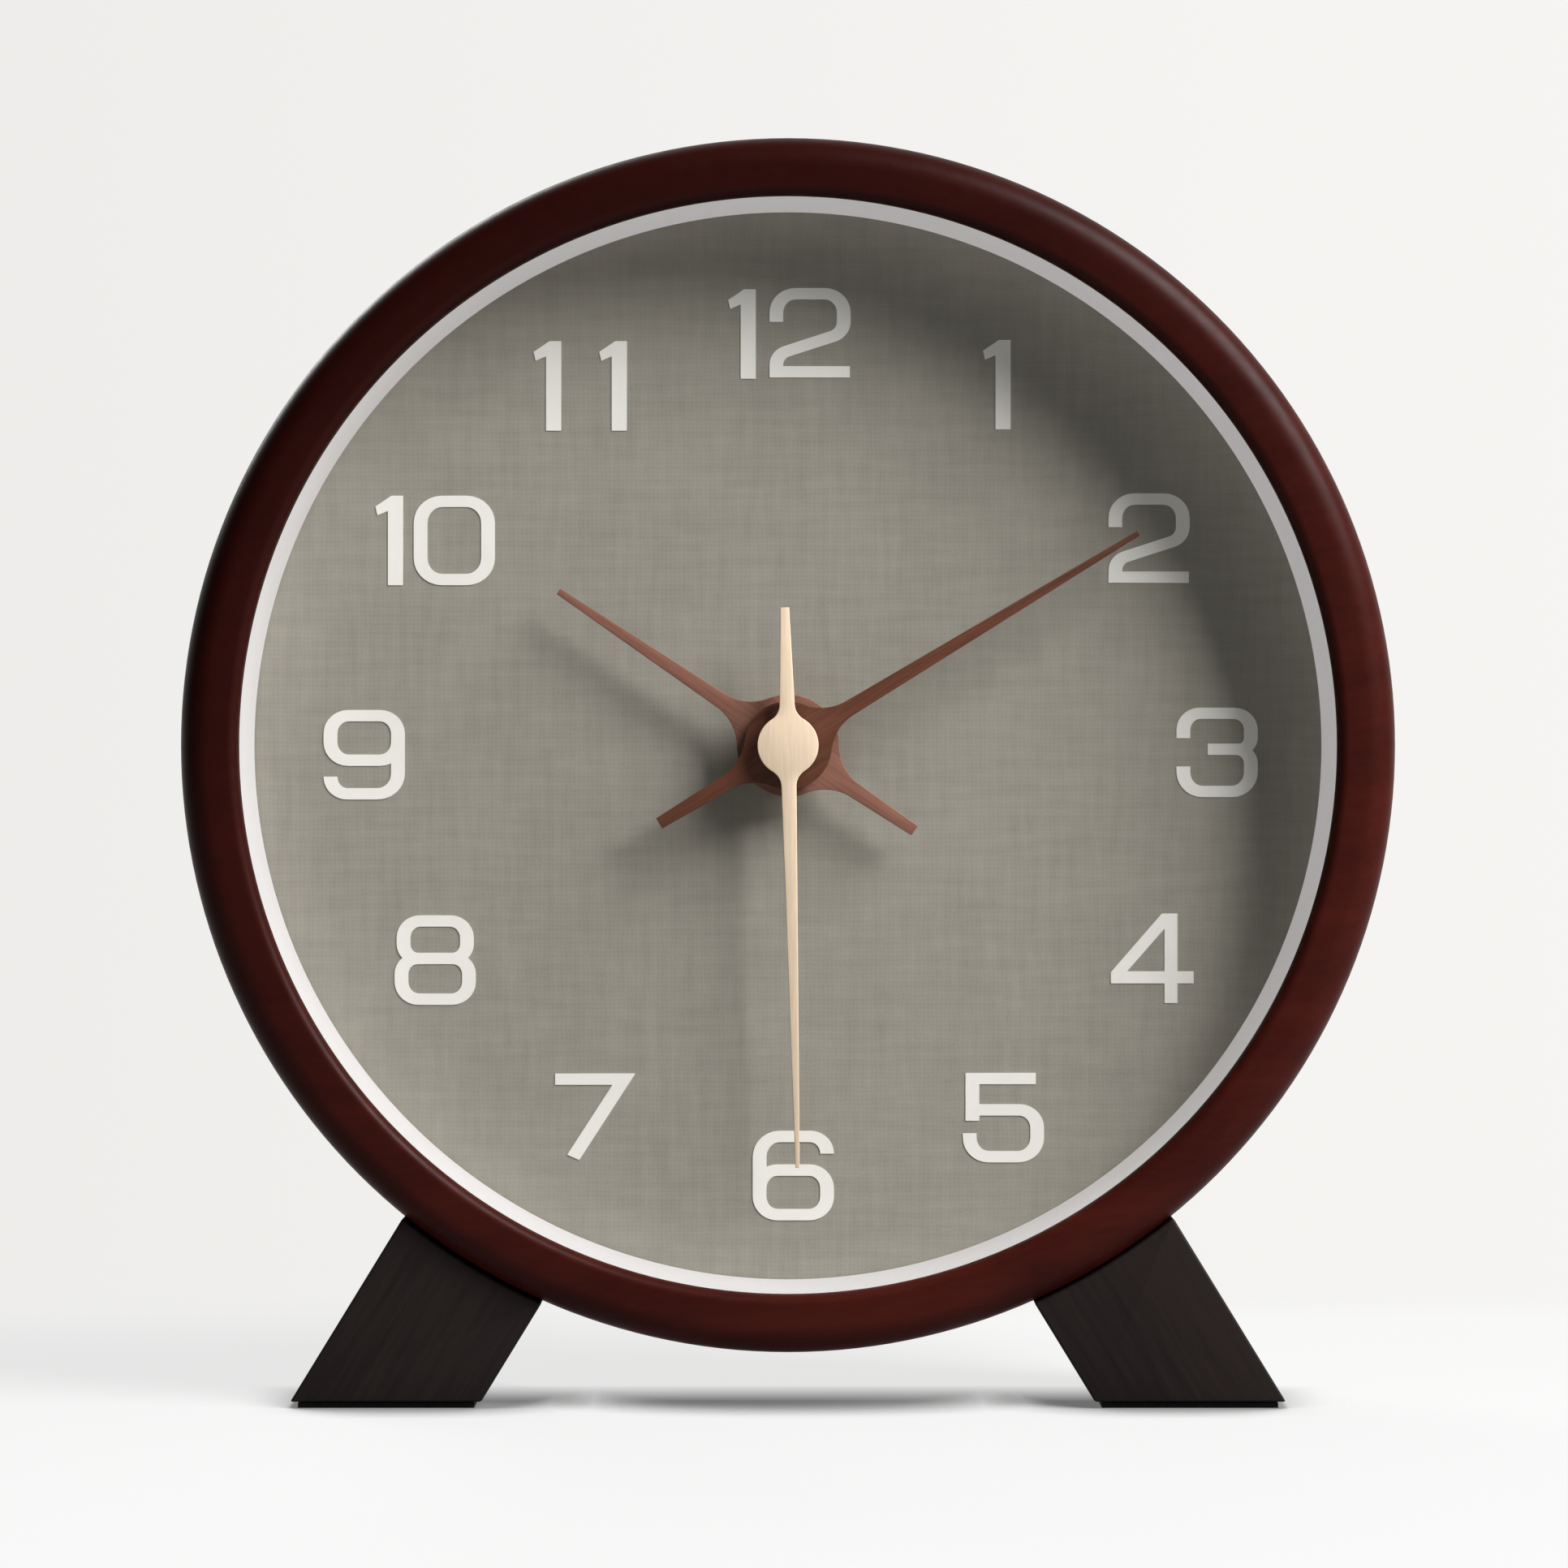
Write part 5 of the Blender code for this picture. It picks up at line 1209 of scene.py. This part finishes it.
def make_floor(studio):
    """The floor, soft at its far edge. Where it is seen it glows, with a painted shadow that dims the glow
    under the clock, strongest under its front half.
    """
    back = FRONT + studio.wall
    bpy.ops.object.select_all(action="DESELECT")
    bpy.ops.mesh.primitive_plane_add(size=studio.floor_side, location=(0, back - studio.floor_side / 2, 0))
    sheet = settle("studio_floor")
    look = Finish("studio_paper", linear("f3f3f3"), 0.9)
    rays = look.add("ShaderNodeLightPath")
    seen = look.maths("MAXIMUM", rays.outputs["Is Camera Ray"], rays.outputs["Is Glossy Ray"])
    seen = look.maths("MAXIMUM", seen, rays.outputs["Is Transmission Ray"])
    look.feed("Base Color", look.mixed(seen, (studio.floor_bounce,) * 3, (studio.floor_shade,) * 3))
    # Painted shadow: ambient occlusion dims the floor's glow where the clock stands close above it
    painted_shadow_ao = look.add("ShaderNodeAmbientOcclusion", {"Distance": studio.contact, "Normal": PAINTED_SHADOW_TILT}, samples=16)
    glow = look.ramp(painted_shadow_ao.outputs["AO"], 0.55, 0.93, studio.floor_painted_shadow, studio.floor_glow)
    split = look.add("ShaderNodeSeparateXYZ", {"Vector": look.place})
    # The painted shadow is lifted behind the middle of the case, so that it lies under the front half
    painted_shadow_lift = look.ramp(split.outputs["Y"], FRONT * 0.4, BACK * 0.6, studio.floor_painted_shadow, studio.floor_glow)
    glow = look.maths("MAXIMUM", glow, painted_shadow_lift)
    paper = look.mixed(look.ramp(look.noise(3, 2), 0.3, 0.7), linear("fbfbfa"), linear("ffffff"))
    look.feed("Emission Color", paper)
    look.feed("Emission Strength", look.maths("MULTIPLY", glow, seen))
    look.feed("Alpha", look.ramp(split.outputs["Y"], back - studio.floor_fade, back, 1.0, 0.0))
    look.set("Specular IOR Level", 0.1)
    sheet.data.materials.clear()
    sheet.data.materials.append(look.material)


def soft_light(name, place, aim, side, brightness):
    """A square light whose face has a given brightness, aimed at a point."""
    lamp = bpy.data.lights.new(name, "AREA")
    lamp.shape = "SQUARE"
    lamp.size = side
    lamp.energy = brightness * math.pi * side * side
    holder = bpy.data.objects.new(name, lamp)
    holder.location = place
    holder.rotation_euler = (Vector(aim) - Vector(place)).to_track_quat("-Z", "Y").to_euler()
    bpy.context.scene.collection.objects.link(holder)


# Operators, one for each piece or group of like pieces
LOOKS = {}


def looks():
    """The materials, made when the first piece asks for them."""
    if "all" not in LOOKS:
        LOOKS["all"] = Looks()
    return LOOKS["all"]


class CLOCK_OT_fittings(bpy.types.Operator):
    """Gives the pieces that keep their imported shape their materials"""

    bl_idname = "clock.fittings"
    bl_label = "Fittings and movement"

    def execute(self, context):
        for look, names in NODE_LOOKS.items():
            for name in names:
                mesh = NODES[name].data
                mesh.materials.clear()
                mesh.materials.append(getattr(looks(), look))
        return {"FINISHED"}


class CLOCK_OT_case(bpy.types.Operator):
    """Builds the turned wooden case"""

    bl_idname = "clock.case"
    bl_label = "Wooden case"

    def execute(self, context):
        make_case(looks())
        return {"FINISHED"}


class CLOCK_OT_white_ring(bpy.types.Operator):
    """Builds the white ring round the dial"""

    bl_idname = "clock.white_ring"
    bl_label = "White ring"

    def execute(self, context):
        make_white_ring(looks())
        return {"FINISHED"}


class CLOCK_OT_feet(bpy.types.Operator):
    """Builds the two raked feet"""

    bl_idname = "clock.feet"
    bl_label = "Feet"

    def execute(self, context):
        make_foot(looks(), -1, "left")
        make_foot(looks(), 1, "right")
        return {"FINISHED"}


class CLOCK_OT_numbers(bpy.types.Operator):
    """Draws the numbers 1 to 12 on the dial"""

    bl_idname = "clock.numbers"
    bl_label = "Numbers"

    def execute(self, context):
        make_numbers(looks())
        return {"FINISHED"}


class CLOCK_OT_hands(bpy.types.Operator):
    """Builds the three wooden hands"""

    bl_idname = "clock.hands"
    bl_label = "Hands"

    def execute(self, context):
        make_hand(looks(), "hour", "hour_pipe")
        make_hand(looks(), "minute", "minute_arbor")
        make_hand(looks(), "second", "second_arbor")
        return {"FINISHED"}


class CLOCK_OT_back(bpy.types.Operator):
    """Builds the back board, its screws and the battery"""

    bl_idname = "clock.back"
    bl_label = "Back"

    def execute(self, context):
        make_back_board(looks())
        make_board_screws(looks())
        make_cell(looks())
        return {"FINISHED"}


class CLOCK_OT_studio(bpy.types.Operator):
    """Sets the floor, the lights and the camera"""

    bl_idname = "clock.studio"
    bl_label = "Studio"

    def execute(self, context):
        make_studio()
        return {"FINISHED"}


STEPS = (
    CLOCK_OT_fittings,
    CLOCK_OT_case,
    CLOCK_OT_white_ring,
    CLOCK_OT_feet,
    CLOCK_OT_numbers,
    CLOCK_OT_hands,
    CLOCK_OT_back,
    CLOCK_OT_studio,
)


class CLOCK_PT_panel(bpy.types.Panel):
    """Lists the clock's pieces and their sizes"""

    bl_idname = "CLOCK_PT_panel"
    bl_label = "Round desk clock"
    bl_space_type = "VIEW_3D"
    bl_region_type = "UI"
    bl_category = "Desk clock"

    def draw(self, context):
        for step in STEPS:
            self.layout.operator(step.bl_idname)
        for name, group in GROUPS.items():
            box = self.layout.box()
            box.label(text=name.capitalize())
            for setting in group.__annotations__:
                box.prop(getattr(context.scene, "clock_" + name), setting)


GROUPS = {
    "case": CaseSizes,
    "numbers": NumberSizes,
    "hour": HourHandSizes,
    "minute": MinuteHandSizes,
    "second": SecondHandSizes,
    "back": BackSizes,
    "colours": ClockColours,
    "studio": StudioSizes,
}


def register():
    for group in GROUPS.values():
        bpy.utils.register_class(group)
    for name, group in GROUPS.items():
        setattr(bpy.types.Scene, "clock_" + name, bpy.props.PointerProperty(type=group))
    for step in STEPS:
        bpy.utils.register_class(step)
    bpy.utils.register_class(CLOCK_PT_panel)


def unregister():
    bpy.utils.unregister_class(CLOCK_PT_panel)
    for step in reversed(STEPS):
        bpy.utils.unregister_class(step)
    for name in reversed(GROUPS):
        delattr(bpy.types.Scene, "clock_" + name)
    for group in reversed(list(GROUPS.values())):
        bpy.utils.unregister_class(group)


def main():
    register()
    bpy.ops.clock.fittings()
    bpy.ops.clock.case()
    bpy.ops.clock.white_ring()
    bpy.ops.clock.feet()
    bpy.ops.clock.numbers()
    bpy.ops.clock.hands()
    bpy.ops.clock.back()
    bpy.ops.clock.studio()


if __name__ == "__main__":
    main()
